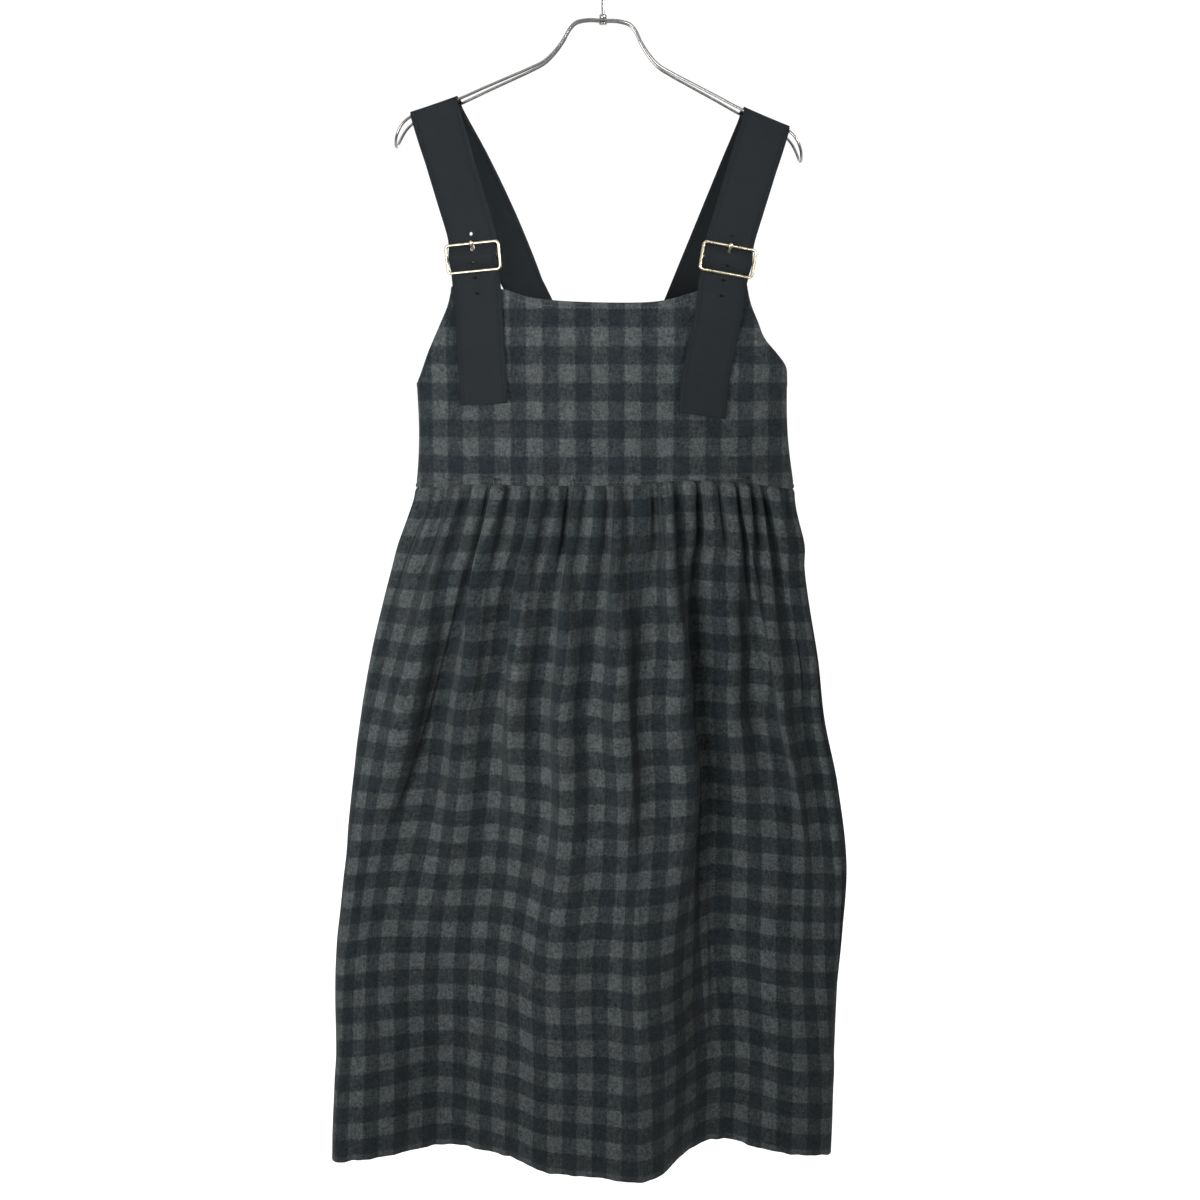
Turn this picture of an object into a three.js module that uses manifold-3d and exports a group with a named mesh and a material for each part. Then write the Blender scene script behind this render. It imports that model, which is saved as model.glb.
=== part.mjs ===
// Gathered pinafore dress with buckled webbing straps, hanging on a hanger of two chrome wires.
// Millimetres, +Z up, the garment's front toward -Y. The origin is the top of the hook's inside,
// where the rail bears.

import * as THREE from 'three';
import { mergeVertices } from 'three/addons/utils/BufferGeometryUtils.js';
import Module from 'manifold-3d';

const wasm = await Module();
wasm.setup();

// Driving sizes
const GAP = 0.3;
const CLOTH_WALL = 1.8;
const PANEL_WIDTH = 670;
const ROUND_WIDTH = 2 * PANEL_WIDTH;
const SKIRT_LENGTH = 728;
const GATHERS = 19;
const COLUMNS_PER_GATHER = 4;
const SKIRT_ROWS = 10;
const ROW_CROWDING = 1.5;
const ARMPIT_Z = -428;
const WAIST_Z = -529;
const HEM_Z = -1254;

const WEBBING = { width: 48, thick: 1.6, bow: 0.4 };
const WIRE = { radius: 1.4, sides: 8, steps: 116, nearby: 5, divisions: 1200 };
const NECK = { z: -79, tilt: 2 };
const HOOK = { radius: 1.5, inside: 20, sides: 8, steps: 44, rise: 8 };
const HOOK_STEM = { top: -54, ease: 6, swing: 3 };
const HOOK_BEND = [-40, -18, 4, 26, 48, 70, 90, 110, 132, 154, 176, 198];
const COLLAR = { outer: 3.6, height: 4.2, clearance: 0.35, chamfer: 0.8 };
const HEAD = { radius: 4, height: 2, underside: 0.7, lip: 0.1 };
const TURNED_SIDES = 16;
const BUCKLE = { width: 53, height: 26.6, wire: 1.5, corner: 3.6, bar: 1.2, barBack: 2, sides: 8 };
const BUCKLE_BEFORE_BIB = 7.2;
const BUCKLE_HANG_Z = -336;
const CORNER_TURNS = [0, 30, 60, 90];
const PRONG = { halfWidth: 1.9, halfThick: 0.8, ring: 0.8, ringSides: 6, ringSteps: 12, sides: 8 };
const PRONG_HOLE = { halfWidth: 2.4, low: 5.8, high: 12.4, depth: 14 };

// The prong's tongue in the buckle's frame: its middle, behind the frame and over the bar, the
// share of its full width there, and the share of its full thickness.
const TONGUE = [
  { y: 2, z: 1.9, wide: 0.55, thick: 0.85 },
  { y: 1.9, z: 5.4, wide: 0.7, thick: 1 },
  { y: 1.5, z: 8.2, wide: 0.8, thick: 1 },
  { y: -0.8, z: 10.6, wide: 0.95, thick: 1 },
  { y: -2.6, z: 12.7, wide: 1, thick: 1 },
  { y: -2.6, z: 14.7, wide: 1, thick: 1 },
  { y: -2.3, z: 15.8, wide: 0.6, thick: 0.9 },
];

// Loops of webbing round the buckles' bars: heights sewn to the bib, turns round the bar, and
// places on the way down from it in the buckle's frame.
const LOOP_WEBBING = { width: 43, thick: 1.5, offBib: 0.9 };
const LOOP_SLOT = { width: 3.6, depth: 12, height: 12, middle: 1 };
const LOOP_HEIGHTS = [-330, -342, -352];
const LOOP_TURNS = [-35, 0, 45, 90, 135, 180, 225];
const LOOP_REAR = { y: 6.4, z: -11 };
const LOOP_FACE = [
  { y: 3.3, z: -7 },
  { y: 5, z: -13.5 },
];

// The garment's outline from shoulder height to hem: its two side edges seen from the front, the
// half depths of front and back at the middle, and how square the section is.
const OUTLINE = [
  { z: -330, left: -190, right: 187, front: 33, back: 30, square: 2 },
  { z: -428, left: -188, right: 186, front: 35, back: 35, square: 2 },
  { z: -480, left: -187, right: 188, front: 36, back: 37, square: 2.1 },
  { z: -530, left: -191, right: 195, front: 37, back: 38, square: 2.2 },
  { z: -557, left: -199, right: 200, front: 38, back: 39, square: 2.3 },
  { z: -590, left: -211, right: 208, front: 41, back: 41, square: 2.4 },
  { z: -612, left: -217, right: 208, front: 43, back: 42, square: 2.5 },
  { z: -648, left: -227, right: 213, front: 46, back: 44, square: 2.6 },
  { z: -711, left: -243, right: 224, front: 50, back: 46, square: 2.8 },
  { z: -776, left: -256, right: 232, front: 53, back: 48, square: 3 },
  { z: -846, left: -266, right: 248, front: 55, back: 50, square: 3.4 },
  { z: -929, left: -275, right: 260, front: 56, back: 52, square: 4 },
  { z: -1008, left: -284, right: 257, front: 57, back: 53, square: 4.8 },
  { z: -1071, left: -289, right: 253, front: 58, back: 54, square: 5.5 },
  { z: -1135, left: -290, right: 251, front: 59, back: 55, square: 6.2 },
  { z: -1262, left: -295, right: 249, front: 61, back: 56, square: 7.5 },
];

// Heights of the waist seam and of the hem along the width of the front.
const FRONT_EDGES = [
  { x: -294, waist: -533, hem: -1261 },
  { x: -252, waist: -533, hem: -1250 },
  { x: -190, waist: -533, hem: -1250 },
  { x: -140, waist: -528, hem: -1255 },
  { x: -60, waist: -528, hem: -1257 },
  { x: 30, waist: -528, hem: -1255 },
  { x: 70, waist: -523.5, hem: -1254 },
  { x: 110, waist: -523.5, hem: -1245 },
  { x: 150, waist: -527, hem: -1243 },
  { x: 194, waist: -534, hem: -1243 },
  { x: 248, waist: -534, hem: -1252 },
];
const BACK_EDGES = [
  { x: -294, waist: -533, hem: -1261 },
  { x: -190, waist: -533, hem: -1253 },
  { x: 0, waist: -530, hem: -1251 },
  { x: 194, waist: -534, hem: -1246 },
  { x: 248, waist: -534, hem: -1252 },
];

// How far each side seam lies to the front of the garment's edge, down the skirt.
const SIDE_SEAMS = [
  { down: 0, left: 0, right: 0 },
  { down: 180, left: -8, right: 10 },
  { down: 360, left: -16, right: 24 },
  { down: 480, left: -16, right: 24 },
  { down: 600, left: -12, right: 14 },
  { down: 728, left: -10, right: 13 },
];

// Folds of each skirt panel: where each starts and ends down the skirt, its middle across the
// width at the start, halfway and at the end, half its width, the length over which it grows,
// and how far it stands outward. A recess has an outward size below nought.
const HEM = SKIRT_LENGTH;
const FRONT_FOLDS = [
  { from: 0, to: HEM, xTop: -112, xMid: -176, xEnd: -160, half: 97, grow: 150, out: -36 },
  { from: 25, to: 350, xTop: -134, xMid: -184, xEnd: -236, half: 24, grow: 60, out: 9 },
  { from: -30, to: 200, xTop: -98, xMid: -111, xEnd: -124, half: 17, grow: 30, out: 6 },
  { from: -30, to: 340, xTop: -60, xMid: -80, xEnd: -96, half: 22, grow: 40, out: 9 },
  { from: -30, to: 110, xTop: -36, xMid: -36, xEnd: -37, half: 15, grow: 20, out: -6 },
  { from: 0, to: HEM, xTop: 2, xMid: 8, xEnd: 14, half: 112, grow: 170, out: 24 },
  { from: 110, to: HEM, xTop: 20, xMid: 29, xEnd: 41, half: 46, grow: 160, out: 13 },
  { from: 130, to: 620, xTop: 80, xMid: 98, xEnd: 112, half: 22, grow: 90, out: 7 },
  { from: 0, to: HEM, xTop: 118, xMid: 148, xEnd: 124, half: 76, grow: 150, out: -33 },
  { from: -40, to: 430, xTop: 126, xMid: 176, xEnd: 222, half: 25, grow: 40, out: 13 },
  { from: -30, to: 300, xTop: 150, xMid: 179, xEnd: 206, half: 19, grow: 30, out: -12 },
  { from: -30, to: 100, xTop: 107, xMid: 117, xEnd: 128, half: 11, grow: 20, out: 5 },
];
const BACK_FOLDS = [
  { from: 0, to: HEM, xTop: 100, xMid: 136, xEnd: 140, half: 84, grow: 160, out: -30 },
  { from: 40, to: 420, xTop: 150, xMid: 182, xEnd: 210, half: 26, grow: 60, out: 9 },
  { from: -30, to: 300, xTop: 62, xMid: 76, xEnd: 88, half: 22, grow: 40, out: 8 },
  { from: 0, to: HEM, xTop: -6, xMid: -12, xEnd: -20, half: 104, grow: 170, out: 20 },
  { from: -30, to: 160, xTop: 12, xMid: 14, xEnd: 16, half: 16, grow: 30, out: -6 },
  { from: 120, to: HEM, xTop: -10, xMid: -24, xEnd: -38, half: 44, grow: 160, out: 10 },
  { from: -30, to: 260, xTop: -66, xMid: -76, xEnd: -88, half: 20, grow: 40, out: 7 },
  { from: 0, to: HEM, xTop: -112, xMid: -154, xEnd: -162, half: 80, grow: 150, out: -34 },
  { from: 20, to: 380, xTop: -140, xMid: -185, xEnd: -226, half: 25, grow: 50, out: 11 },
];
const FADE_SHARE = 0.4;
const EDGE_CALM = 10;
const PLAN_STEPS = 480;
const REACH = 2;
const WIDE_REACH = 12;
const HALVINGS = 24;
const MOST_TURN = 1.5;
const SETTLING_ROUNDS = 6;
const SAME_POINT = 1e-4;

// Waves that take up the cloth between the large folds: how many go across a panel, where each
// kind is strongest down the skirt and over what length it dies out, and how uneven it is.
const WAVES = [
  { count: GATHERS, middle: 0, spread: 105, share: 1, start: 0.4, uneven: 0.7, beat: 2.3 },
  { count: 9, middle: 210, spread: 170, share: 0.8, start: 1.9, uneven: 0.8, beat: 1.7 },
  { count: 5, middle: 620, spread: 330, share: 0.8, start: 0.9, uneven: 0.6, beat: 1.3 },
];
const PINCHED_AT_WAIST = 0.42;
const PINCH_LENGTH = 26;
const WAVE_END = 34;

// Armhole edges of the bib, and its top edge along the width.
const ARMHOLE = [
  { z: -330, left: -149, right: 141.5 },
  { z: -350, left: -153.5, right: 146.5 },
  { z: -366, left: -160.5, right: 153.5 },
  { z: -383, left: -168.5, right: 161 },
  { z: -396, left: -174.5, right: 172.5 },
  { z: -406, left: -178.5, right: 181 },
  { z: -412, left: -180.8, right: 184.6 },
  { z: -420, left: -184, right: 185.6 },
  { z: -428, left: -188, right: 186 },
];
const BIB_TOP = [
  { x: -150, z: -333 },
  { x: -100, z: -336 },
  { x: -72, z: -344 },
  { x: -30, z: -348 },
  { x: 35, z: -349 },
  { x: 62, z: -346.5 },
  { x: 86, z: -340 },
  { x: 104, z: -335 },
  { x: 145, z: -336 },
];
const BACK_TOP = [
  { x: -188, z: -428 },
  { x: -130, z: -424 },
  { x: -50, z: -419 },
  { x: 0, z: -420 },
  { x: 56, z: -419 },
  { x: 130, z: -424 },
  { x: 186, z: -428 },
];
const BIB_COLUMNS = 26;
const BIB_ROWS = 11;
const BACK_COLUMNS = 22;
const BACK_ROWS = 5;

// Half of the hanger's line from its neck to a tip: height under the rail and half the distance
// between its two wires.
const SHOULDER = [
  { x: 0, z: -79, apart: 3.2 },
  { x: 15, z: -79, apart: 3.4 },
  { x: 26, z: -81.7, apart: 4 },
  { x: 32, z: -87.6, apart: 4.6 },
  { x: 38, z: -98.5, apart: 5.4 },
  { x: 46, z: -109.6, apart: 6.4 },
  { x: 56, z: -119.4, apart: 7.4 },
  { x: 70, z: -127, apart: 8.8 },
  { x: 86, z: -134.5, apart: 10.2 },
  { x: 112, z: -146.6, apart: 12.2 },
  { x: 138, z: -158.9, apart: 14.4 },
  { x: 162, z: -168.3, apart: 16.4 },
  { x: 182, z: -176.4, apart: 18.2 },
  { x: 191.5, z: -184.5, apart: 18.6 },
  { x: 197, z: -194.5, apart: 15.6 },
  { x: 199, z: -201.5, apart: 8.5 },
];
const TIP = { x: 199.4, z: -204 };

// Where each strap's stations lie: turns round the wires on leaving and reaching them, shares of
// the way from the front wire to the buckle and from the back panel to the back wire, the dip
// between the wires, and how it comes through the buckle in shares of half the buckle's height.
const OVER_WIRES = { back: -25, backTurns: [0, 45, 90], front: 205, frontTurns: [90, 135, 180] };
const FRONT_SHARES = [0.12, 0.4, 0.7];
const BACK_SHARES = [0.12, 0.35, 0.6, 0.82];
const LEVEL_AFTER = { from: -0.1, to: 0.5 };
const TWISTED_BY = 0.33;
const DIP = 1.2;
const THROUGH = { before: 7, near: 0.8, beside: 0.45, tuck: 0.2, towardLoop: 0.62 };
const STRAP_STEPS = 2;

// Each strap: where its front and back cross the hanger, the buckle's place and turn, the back
// end on the back panel, the bow of the back part toward the garment's middle and how far it
// twists there, and the middle of the hanging tail.
const STRAPS = [
  {
    name: 'left',
    wireX: -161,
    backX: -160,
    buckle: { x: -127.2, z: -304.7, roll: -5, yaw: 10 },
    backEnd: { x: -37, z: -444 },
    backTop: { x: -46, z: -419 },
    climb: { bow: 6.5, twist: 0.1 },
    tail: [
      { x: -124.4, z: -330, lift: 4.5 },
      { x: -123.3, z: -341, lift: 4.4 },
      { x: -122.7, z: -356, lift: 4.2 },
      { x: -121.6, z: -380, lift: 2.4 },
      { x: -120, z: -408, lift: 2.6 },
      { x: -119.1, z: -428, lift: 4 },
      { x: -118.6, z: -447, lift: 6 },
    ],
  },
  {
    name: 'right',
    wireX: 162,
    backX: 161,
    buckle: { x: 122.2, z: -307, roll: 9.5, yaw: -10 },
    backEnd: { x: 49, z: -444 },
    backTop: { x: 58, z: -419 },
    climb: { bow: 0, twist: 0.1 },
    tail: [
      { x: 117.2, z: -331, lift: 4.5 },
      { x: 116.2, z: -342, lift: 4.4 },
      { x: 114.2, z: -357, lift: 4.2 },
      { x: 110, z: -380, lift: 2.4 },
      { x: 104.6, z: -406, lift: 2.6 },
      { x: 100.8, z: -430, lift: 4 },
      { x: 98.6, z: -458.5, lift: 6 },
    ],
  },
];

const MATERIALS = {
  flannel: { color: 0x3b4145, roughness: 0.95, metalness: 0 },
  webbing: { color: 0x2b2d30, roughness: 0.85, metalness: 0 },
  nickel: { color: 0xc9bfa8, roughness: 0.3, metalness: 1 },
  chrome: { color: 0xd9dcde, roughness: 0.12, metalness: 1 },
};

const radians = THREE.MathUtils.degToRad;
const { clamp, lerp, smoothstep } = THREE.MathUtils;
const neck = new THREE.Vector3(0, 0, NECK.z);
const risingTables = new Map();
const skirtRows = new Map();

// Smooth value of a table's column at a place between its rows.
function columnAt(table, key, place, column) {
  const last = table.length - 1;
  if (place <= table[0][key]) return table[0][column];
  if (place >= table[last][key]) return table[last][column];
  let row = 0;
  while (table[row + 1][key] < place) row += 1;
  const before = table[Math.max(row - 1, 0)];
  const start = table[row];
  const end = table[row + 1];
  const after = table[Math.min(row + 2, last)];
  const run = end[key] - start[key];
  const t = (place - start[key]) / run;
  const leave = ((end[column] - before[column]) / (end[key] - before[key])) * run;
  const arrive = ((after[column] - start[column]) / (after[key] - start[key])) * run;
  const t2 = t * t;
  const t3 = t2 * t;
  return (
    (2 * t3 - 3 * t2 + 1) * start[column] +
    (t3 - 2 * t2 + t) * leave +
    (3 * t2 - 2 * t3) * end[column] +
    (t3 - t2) * arrive
  );
}

// The same for tables that run downward, from the highest row to the lowest.
function heightAt(table, z, column) {
  const rising = risingTables.get(table) ?? [...table].reverse();
  risingTables.set(table, rising);
  return columnAt(rising, 'z', z, column);
}

// A plan curve of the garment at one height, from one side edge to the other, measured along
// its length. side is 1 for the front and -1 for the back.
class PlanCurve {
  constructor(z, down, side, folds) {
    const left = heightAt(OUTLINE, z, 'left');
    const right = heightAt(OUTLINE, z, 'right');
    const depth = heightAt(OUTLINE, z, side > 0 ? 'front' : 'back');
    const square = heightAt(OUTLINE, z, 'square');
    const middle = (left + right) / 2;
    const half = (right - left) / 2;
    const steps = PLAN_STEPS;
    this.points = [];
    this.lengths = [];
    let length = 0;
    for (let i = 0; i <= steps; i += 1) {
      const across = Math.sin(Math.PI * (i / steps - 0.5));
      const edge = Math.max(0, 1 - Math.abs(across) ** square) ** (1 / square);
      const x = middle + half * across;
      const calm = 1 - Math.abs(across) ** EDGE_CALM;
      const outward = depth * edge + calm * foldAt(folds, x, down);
      const point = new THREE.Vector2(x, -side * outward);
      if (i > 0) length += point.distanceTo(this.points[i - 1]);
      this.points.push(point);
      this.lengths.push(length);
    }
    if (side < 0) {
      this.points.reverse();
      this.lengths = this.lengths.map((value) => length - value).reverse();
    }
    this.length = length;
  }

  // Point at a distance along the curve.
  at(distance) {
    const place = clamp(distance, 0, this.length);
    let low = 0;
    let high = this.lengths.length - 1;
    while (high - low > 1) {
      const middle = (low + high) >> 1;
      if (this.lengths[middle] > place) high = middle;
      else low = middle;
    }
    const run = this.lengths[high] - this.lengths[low] || 1;
    return this.points[low].clone().lerp(this.points[high], (place - this.lengths[low]) / run);
  }

  // Direction of the curve at a distance along it.
  heading(distance) {
    return this.at(distance + REACH).sub(this.at(distance - REACH)).normalize();
  }

  // Distance along the curve at which it first reaches a place across the width.
  distanceAt(x) {
    const rising = this.points[0].x < this.points[this.points.length - 1].x;
    const index = this.points.findIndex((point) => (rising ? point.x >= x : point.x <= x));
    if (index <= 0) return index === 0 ? 0 : this.length;
    const start = this.points[index - 1];
    const end = this.points[index];
    const t = (x - start.x) / (end.x - start.x || 1);
    return lerp(this.lengths[index - 1], this.lengths[index], t);
  }
}

// How far the folds together stand out at a place on a skirt panel.
function foldAt(folds, x, down) {
  return folds.reduce((sum, fold) => {
    if (down <= fold.from || down > fold.to) return sum;
    const run = fold.to - fold.from;
    const t = (down - fold.from) / run;
    const bow = fold.xMid - (fold.xTop + fold.xEnd) / 2;
    const middle = lerp(fold.xTop, fold.xEnd, t) + 4 * bow * t * (1 - t);
    const away = Math.abs(x - middle) / fold.half;
    if (away >= 1) return sum;
    const grown = 1 - Math.exp(-(down - fold.from) / fold.grow);
    const left = fold.to < HEM ? smoothstep(fold.to - down, 0, FADE_SHARE * run) : 1;
    return sum + fold.out * grown * left * Math.cos((Math.PI / 2) * away) ** 2;
  }, 0);
}

// One side of a skirt row: cloth of a given length laid in waves along a plan curve.
class WavedRow {
  constructor(curve, clothLength, down) {
    this.curve = curve;
    this.clothLength = clothLength;
    this.steps = Math.round(clothLength);
    this.down = down;
    let low = 0;
    let high = MOST_TURN;
    for (let i = 0; i < HALVINGS; i += 1) {
      const middle = (low + high) / 2;
      if (this.lay(middle) > curve.length) low = middle;
      else high = middle;
    }
    const laid = this.lay((low + high) / 2);
    this.stretch = curve.length / laid;
  }

  // Lays the cloth at a wave strength and gives the length that it then covers.
  lay(strength) {
    const { steps, clothLength, down } = this;
    const step = clothLength / steps;
    this.along = [0];
    this.across = [0];
    for (let i = 0; i < steps; i += 1) {
      const place = (i + 0.5) * step;
      const calm = smoothstep(Math.min(place, clothLength - place), 0, WAVE_END);
      const turn = strength * calm * waveTurn(place / PANEL_WIDTH, down);
      this.along.push(this.along[i] + step * Math.cos(turn));
      this.across.push(this.across[i] + step * Math.sin(turn));
    }
    const drift = this.across[steps] / steps;
    this.across = this.across.map((value, i) => value - drift * i);
    return this.along[steps];
  }

  // Plan point at a distance along the cloth.
  at(cloth) {
    const place = clamp((cloth / this.clothLength) * this.steps, 0, this.steps);
    const index = Math.min(Math.floor(place), this.steps - 1);
    const t = place - index;
    const along = lerp(this.along[index], this.along[index + 1], t) * this.stretch;
    const pinch = lerp(PINCHED_AT_WAIST, 1, smoothstep(this.down, 0, PINCH_LENGTH));
    const across = lerp(this.across[index], this.across[index + 1], t) * pinch;
    const point = this.curve.at(along);
    const ahead = this.curve.heading(along);
    return point.add(new THREE.Vector2(ahead.y, -ahead.x).multiplyScalar(across));
  }
}

// Direction that the waved cloth takes, from -1 to 1, at a share of the panel's width.
function waveTurn(share, down) {
  return WAVES.reduce((sum, wave) => {
    const strong = Math.exp(-(((down - wave.middle) / wave.spread) ** 2)) * wave.share;
    const uneven = wave.uneven * Math.sin(2 * Math.PI * wave.beat * share + wave.start);
    return sum + strong * Math.cos(2 * Math.PI * wave.count * share + wave.start + uneven);
  }, 0);
}

// The whole skirt row at a distance down from the waist, round both sides.
function skirtRow(down) {
  if (!skirtRows.has(down)) {
    const z = lerp(WAIST_Z, HEM_Z, down / SKIRT_LENGTH);
    const left = columnAt(SIDE_SEAMS, 'down', down, 'left');
    const right = columnAt(SIDE_SEAMS, 'down', down, 'right');
    const frontLength = PANEL_WIDTH + left + right;
    skirtRows.set(down, {
      left,
      frontLength,
      front: new WavedRow(new PlanCurve(z, down, 1, FRONT_FOLDS), frontLength, down),
      back: new WavedRow(new PlanCurve(z, down, -1, BACK_FOLDS), ROUND_WIDTH - frontLength, down),
    });
  }
  return skirtRows.get(down);
}

// Point of the skirt's middle surface: cloth distance round from the left seam, and down.
function skirtPlan(round, down) {
  const row = skirtRow(down);
  const place = (round + row.left + 2 * ROUND_WIDTH) % ROUND_WIDTH;
  if (place <= row.frontLength) return { point: row.front.at(place), edges: FRONT_EDGES };
  return { point: row.back.at(place - row.frontLength), edges: BACK_EDGES };
}

function skirtPoint(round, down) {
  const { point, edges } = skirtPlan(round, down);
  const waist = columnAt(edges, 'x', point.x, 'waist') - GAP / 2;
  const hem = columnAt(edges, 'x', point.x, 'hem');
  const ahead = skirtPlan(round + REACH, down).point.sub(skirtPlan(round - REACH, down).point);
  ahead.normalize();
  return {
    middle: new THREE.Vector3(point.x, point.y, lerp(waist, hem, down / SKIRT_LENGTH)),
    outward: new THREE.Vector3(ahead.y, -ahead.x, 0),
  };
}

function skirtPanel(start) {
  const columns = GATHERS * COLUMNS_PER_GATHER;
  return clothWall(SKIRT_ROWS + 1, columns + 1, (row, column) => {
    const down = SKIRT_LENGTH * (row / SKIRT_ROWS) ** ROW_CROWDING;
    const point = skirtPoint(start + PANEL_WIDTH * (column / columns), down);
    return clearOfSeam(point, column / columns);
  });
}

// Moves a panel's first and last points half a gap off the side seam, along the cloth.
function clearOfSeam({ middle, outward }, sideways) {
  const ahead = new THREE.Vector3(-outward.y, outward.x, 0);
  const shift = (Number(sideways === 0) - Number(sideways === 1)) * (GAP / 2);
  return { middle: middle.clone().addScaledVector(ahead, shift), outward };
}

// Point of the bodice's middle surface, on the plan curve at its own height.
function bodicePoint(side, topEdge, sideways, upward) {
  const edges = side > 0 ? FRONT_EDGES : BACK_EDGES;
  let x = 0;
  let point;
  let ahead;
  let z;
  for (let round = 0; round < SETTLING_ROUNDS; round += 1) {
    const waist = columnAt(edges, 'x', x, 'waist') + GAP / 2;
    z = lerp(waist, columnAt(topEdge, 'x', x, 'z'), upward);
    const curve = new PlanCurve(z, 0, side, []);
    const [start, end] = bodiceEnds(curve, side, z);
    const distance = lerp(start, end, sideways);
    point = curve.at(distance);
    ahead = curve.heading(distance);
    if (distance === 0) ahead.set(0, -side);
    if (distance === curve.length) ahead.set(0, side);
    x = point.x;
  }
  return {
    middle: new THREE.Vector3(point.x, point.y, z),
    outward: new THREE.Vector3(ahead.y, -ahead.x, 0),
  };
}

// Where a bodice panel starts and ends along its plan curve: at the side seams under the
// armpits, and for the front at the armholes above them.
function bodiceEnds(curve, side, z) {
  if (side < 0 || z <= ARMPIT_Z) return [0, curve.length];
  return [
    curve.distanceAt(heightAt(ARMHOLE, z, 'left')),
    curve.distanceAt(heightAt(ARMHOLE, z, 'right')),
  ];
}

function bodicePanel(side, topEdge, rows, columns) {
  return clothWall(rows + 1, columns + 1, (row, column) =>
    clearOfSeam(bodicePoint(side, topEdge, column / columns, 1 - row / rows), column / columns),
  );
}

// Depth of the bib's middle surface behind a place seen from the front.
function bibDepth(x, z) {
  const curve = new PlanCurve(z, 0, 1, []);
  return curve.at(curve.distanceAt(x)).y;
}

// Slope of the bib's face across the width.
function bibSlope(x, z) {
  return (bibDepth(x + WIDE_REACH, z) - bibDepth(x - WIDE_REACH, z)) / (2 * WIDE_REACH);
}

// Closed wall of even thickness on both sides of a grid of surface points.
function clothWall(rows, columns, pointAt) {
  const positions = [];
  const triangles = [];
  for (const offset of [CLOTH_WALL / 2, -CLOTH_WALL / 2]) {
    for (let row = 0; row < rows; row += 1) {
      for (let column = 0; column < columns; column += 1) {
        const { middle, outward } = pointAt(row, column);
        positions.push(...middle.clone().addScaledVector(outward, offset).toArray());
      }
    }
  }
  const inner = rows * columns;
  const index = (row, column) => row * columns + column;
  const quad = (a, b, c, d) => triangles.push(a, b, c, a, c, d);
  for (let row = 0; row < rows - 1; row += 1) {
    for (let column = 0; column < columns - 1; column += 1) {
      const a = index(row, column);
      const b = index(row + 1, column);
      const c = index(row + 1, column + 1);
      const d = index(row, column + 1);
      quad(a, b, c, d);
      quad(inner + d, inner + c, inner + b, inner + a);
    }
  }
  // Panels that meet at a seam share the same diagonals there, so their faces stay parallel.
  for (let column = 0; column < columns - 1; column += 1) {
    const [top, topNext] = [index(0, column), index(0, column + 1)];
    const [low, lowNext] = [index(rows - 1, column), index(rows - 1, column + 1)];
    quad(top, topNext, inner + topNext, inner + top);
    quad(lowNext, low, inner + low, inner + lowNext);
  }
  for (let row = 0; row < rows - 1; row += 1) {
    const [end, endNext] = [index(row, columns - 1), index(row + 1, columns - 1)];
    const [start, startNext] = [index(row, 0), index(row + 1, 0)];
    quad(end, endNext, inner + endNext, inner + end);
    quad(start, inner + start, inner + startNext, startNext);
  }
  return closedBody(positions, triangles);
}

// Body skinned over rings of points, which run round and close on the first or are capped.
function skin(rings, closed = false) {
  const sides = rings[0].length;
  const positions = rings.flat().flatMap((point) => point.toArray());
  const triangles = [];
  const spans = closed ? rings.length : rings.length - 1;
  for (let i = 0; i < spans; i += 1) {
    const next = (i + 1) % rings.length;
    for (let k = 0; k < sides; k += 1) {
      const turn = (k + 1) % sides;
      const a = i * sides + k;
      const b = i * sides + turn;
      const c = next * sides + turn;
      const d = next * sides + k;
      triangles.push(a, b, c, a, c, d);
    }
  }
  if (!closed) {
    const last = (rings.length - 1) * sides;
    for (let k = 1; k < sides - 1; k += 1) {
      triangles.push(0, k + 1, k, last, last + k, last + k + 1);
    }
  }
  return closedBody(positions, triangles);
}

function closedBody(positions, triangles) {
  const geometry = new THREE.BufferGeometry();
  geometry.setAttribute('position', new THREE.Float32BufferAttribute(positions, 3));
  geometry.setIndex(signedVolume(positions, triangles) > 0 ? triangles : [...triangles].reverse());
  geometry.computeVertexNormals();
  return geometry;
}

function signedVolume(positions, triangles) {
  const corner = (index) => new THREE.Vector3().fromArray(positions, 3 * index);
  let volume = 0;
  for (let i = 0; i < triangles.length; i += 3) {
    const [a, b, c] = [corner(triangles[i]), corner(triangles[i + 1]), corner(triangles[i + 2])];
    volume += a.dot(b.cross(c)) / 6;
  }
  return volume;
}

// Round wire along a curve.
function wire(curve, radius, sides, steps, closed = false) {
  const frames = curve.computeFrenetFrames(steps, closed);
  const rings = [];
  for (let i = 0; i < steps + (closed ? 0 : 1); i += 1) {
    const centre = curve.getPointAt(i / steps);
    rings.push(
      Array.from({ length: sides }, (_, k) => {
        const angle = (2 * Math.PI * k) / sides;
        return centre
          .clone()
          .addScaledVector(frames.normals[i], radius * Math.cos(angle))
          .addScaledVector(frames.binormals[i], radius * Math.sin(angle));
      }),
    );
  }
  return skin(rings, closed);
}

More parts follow.
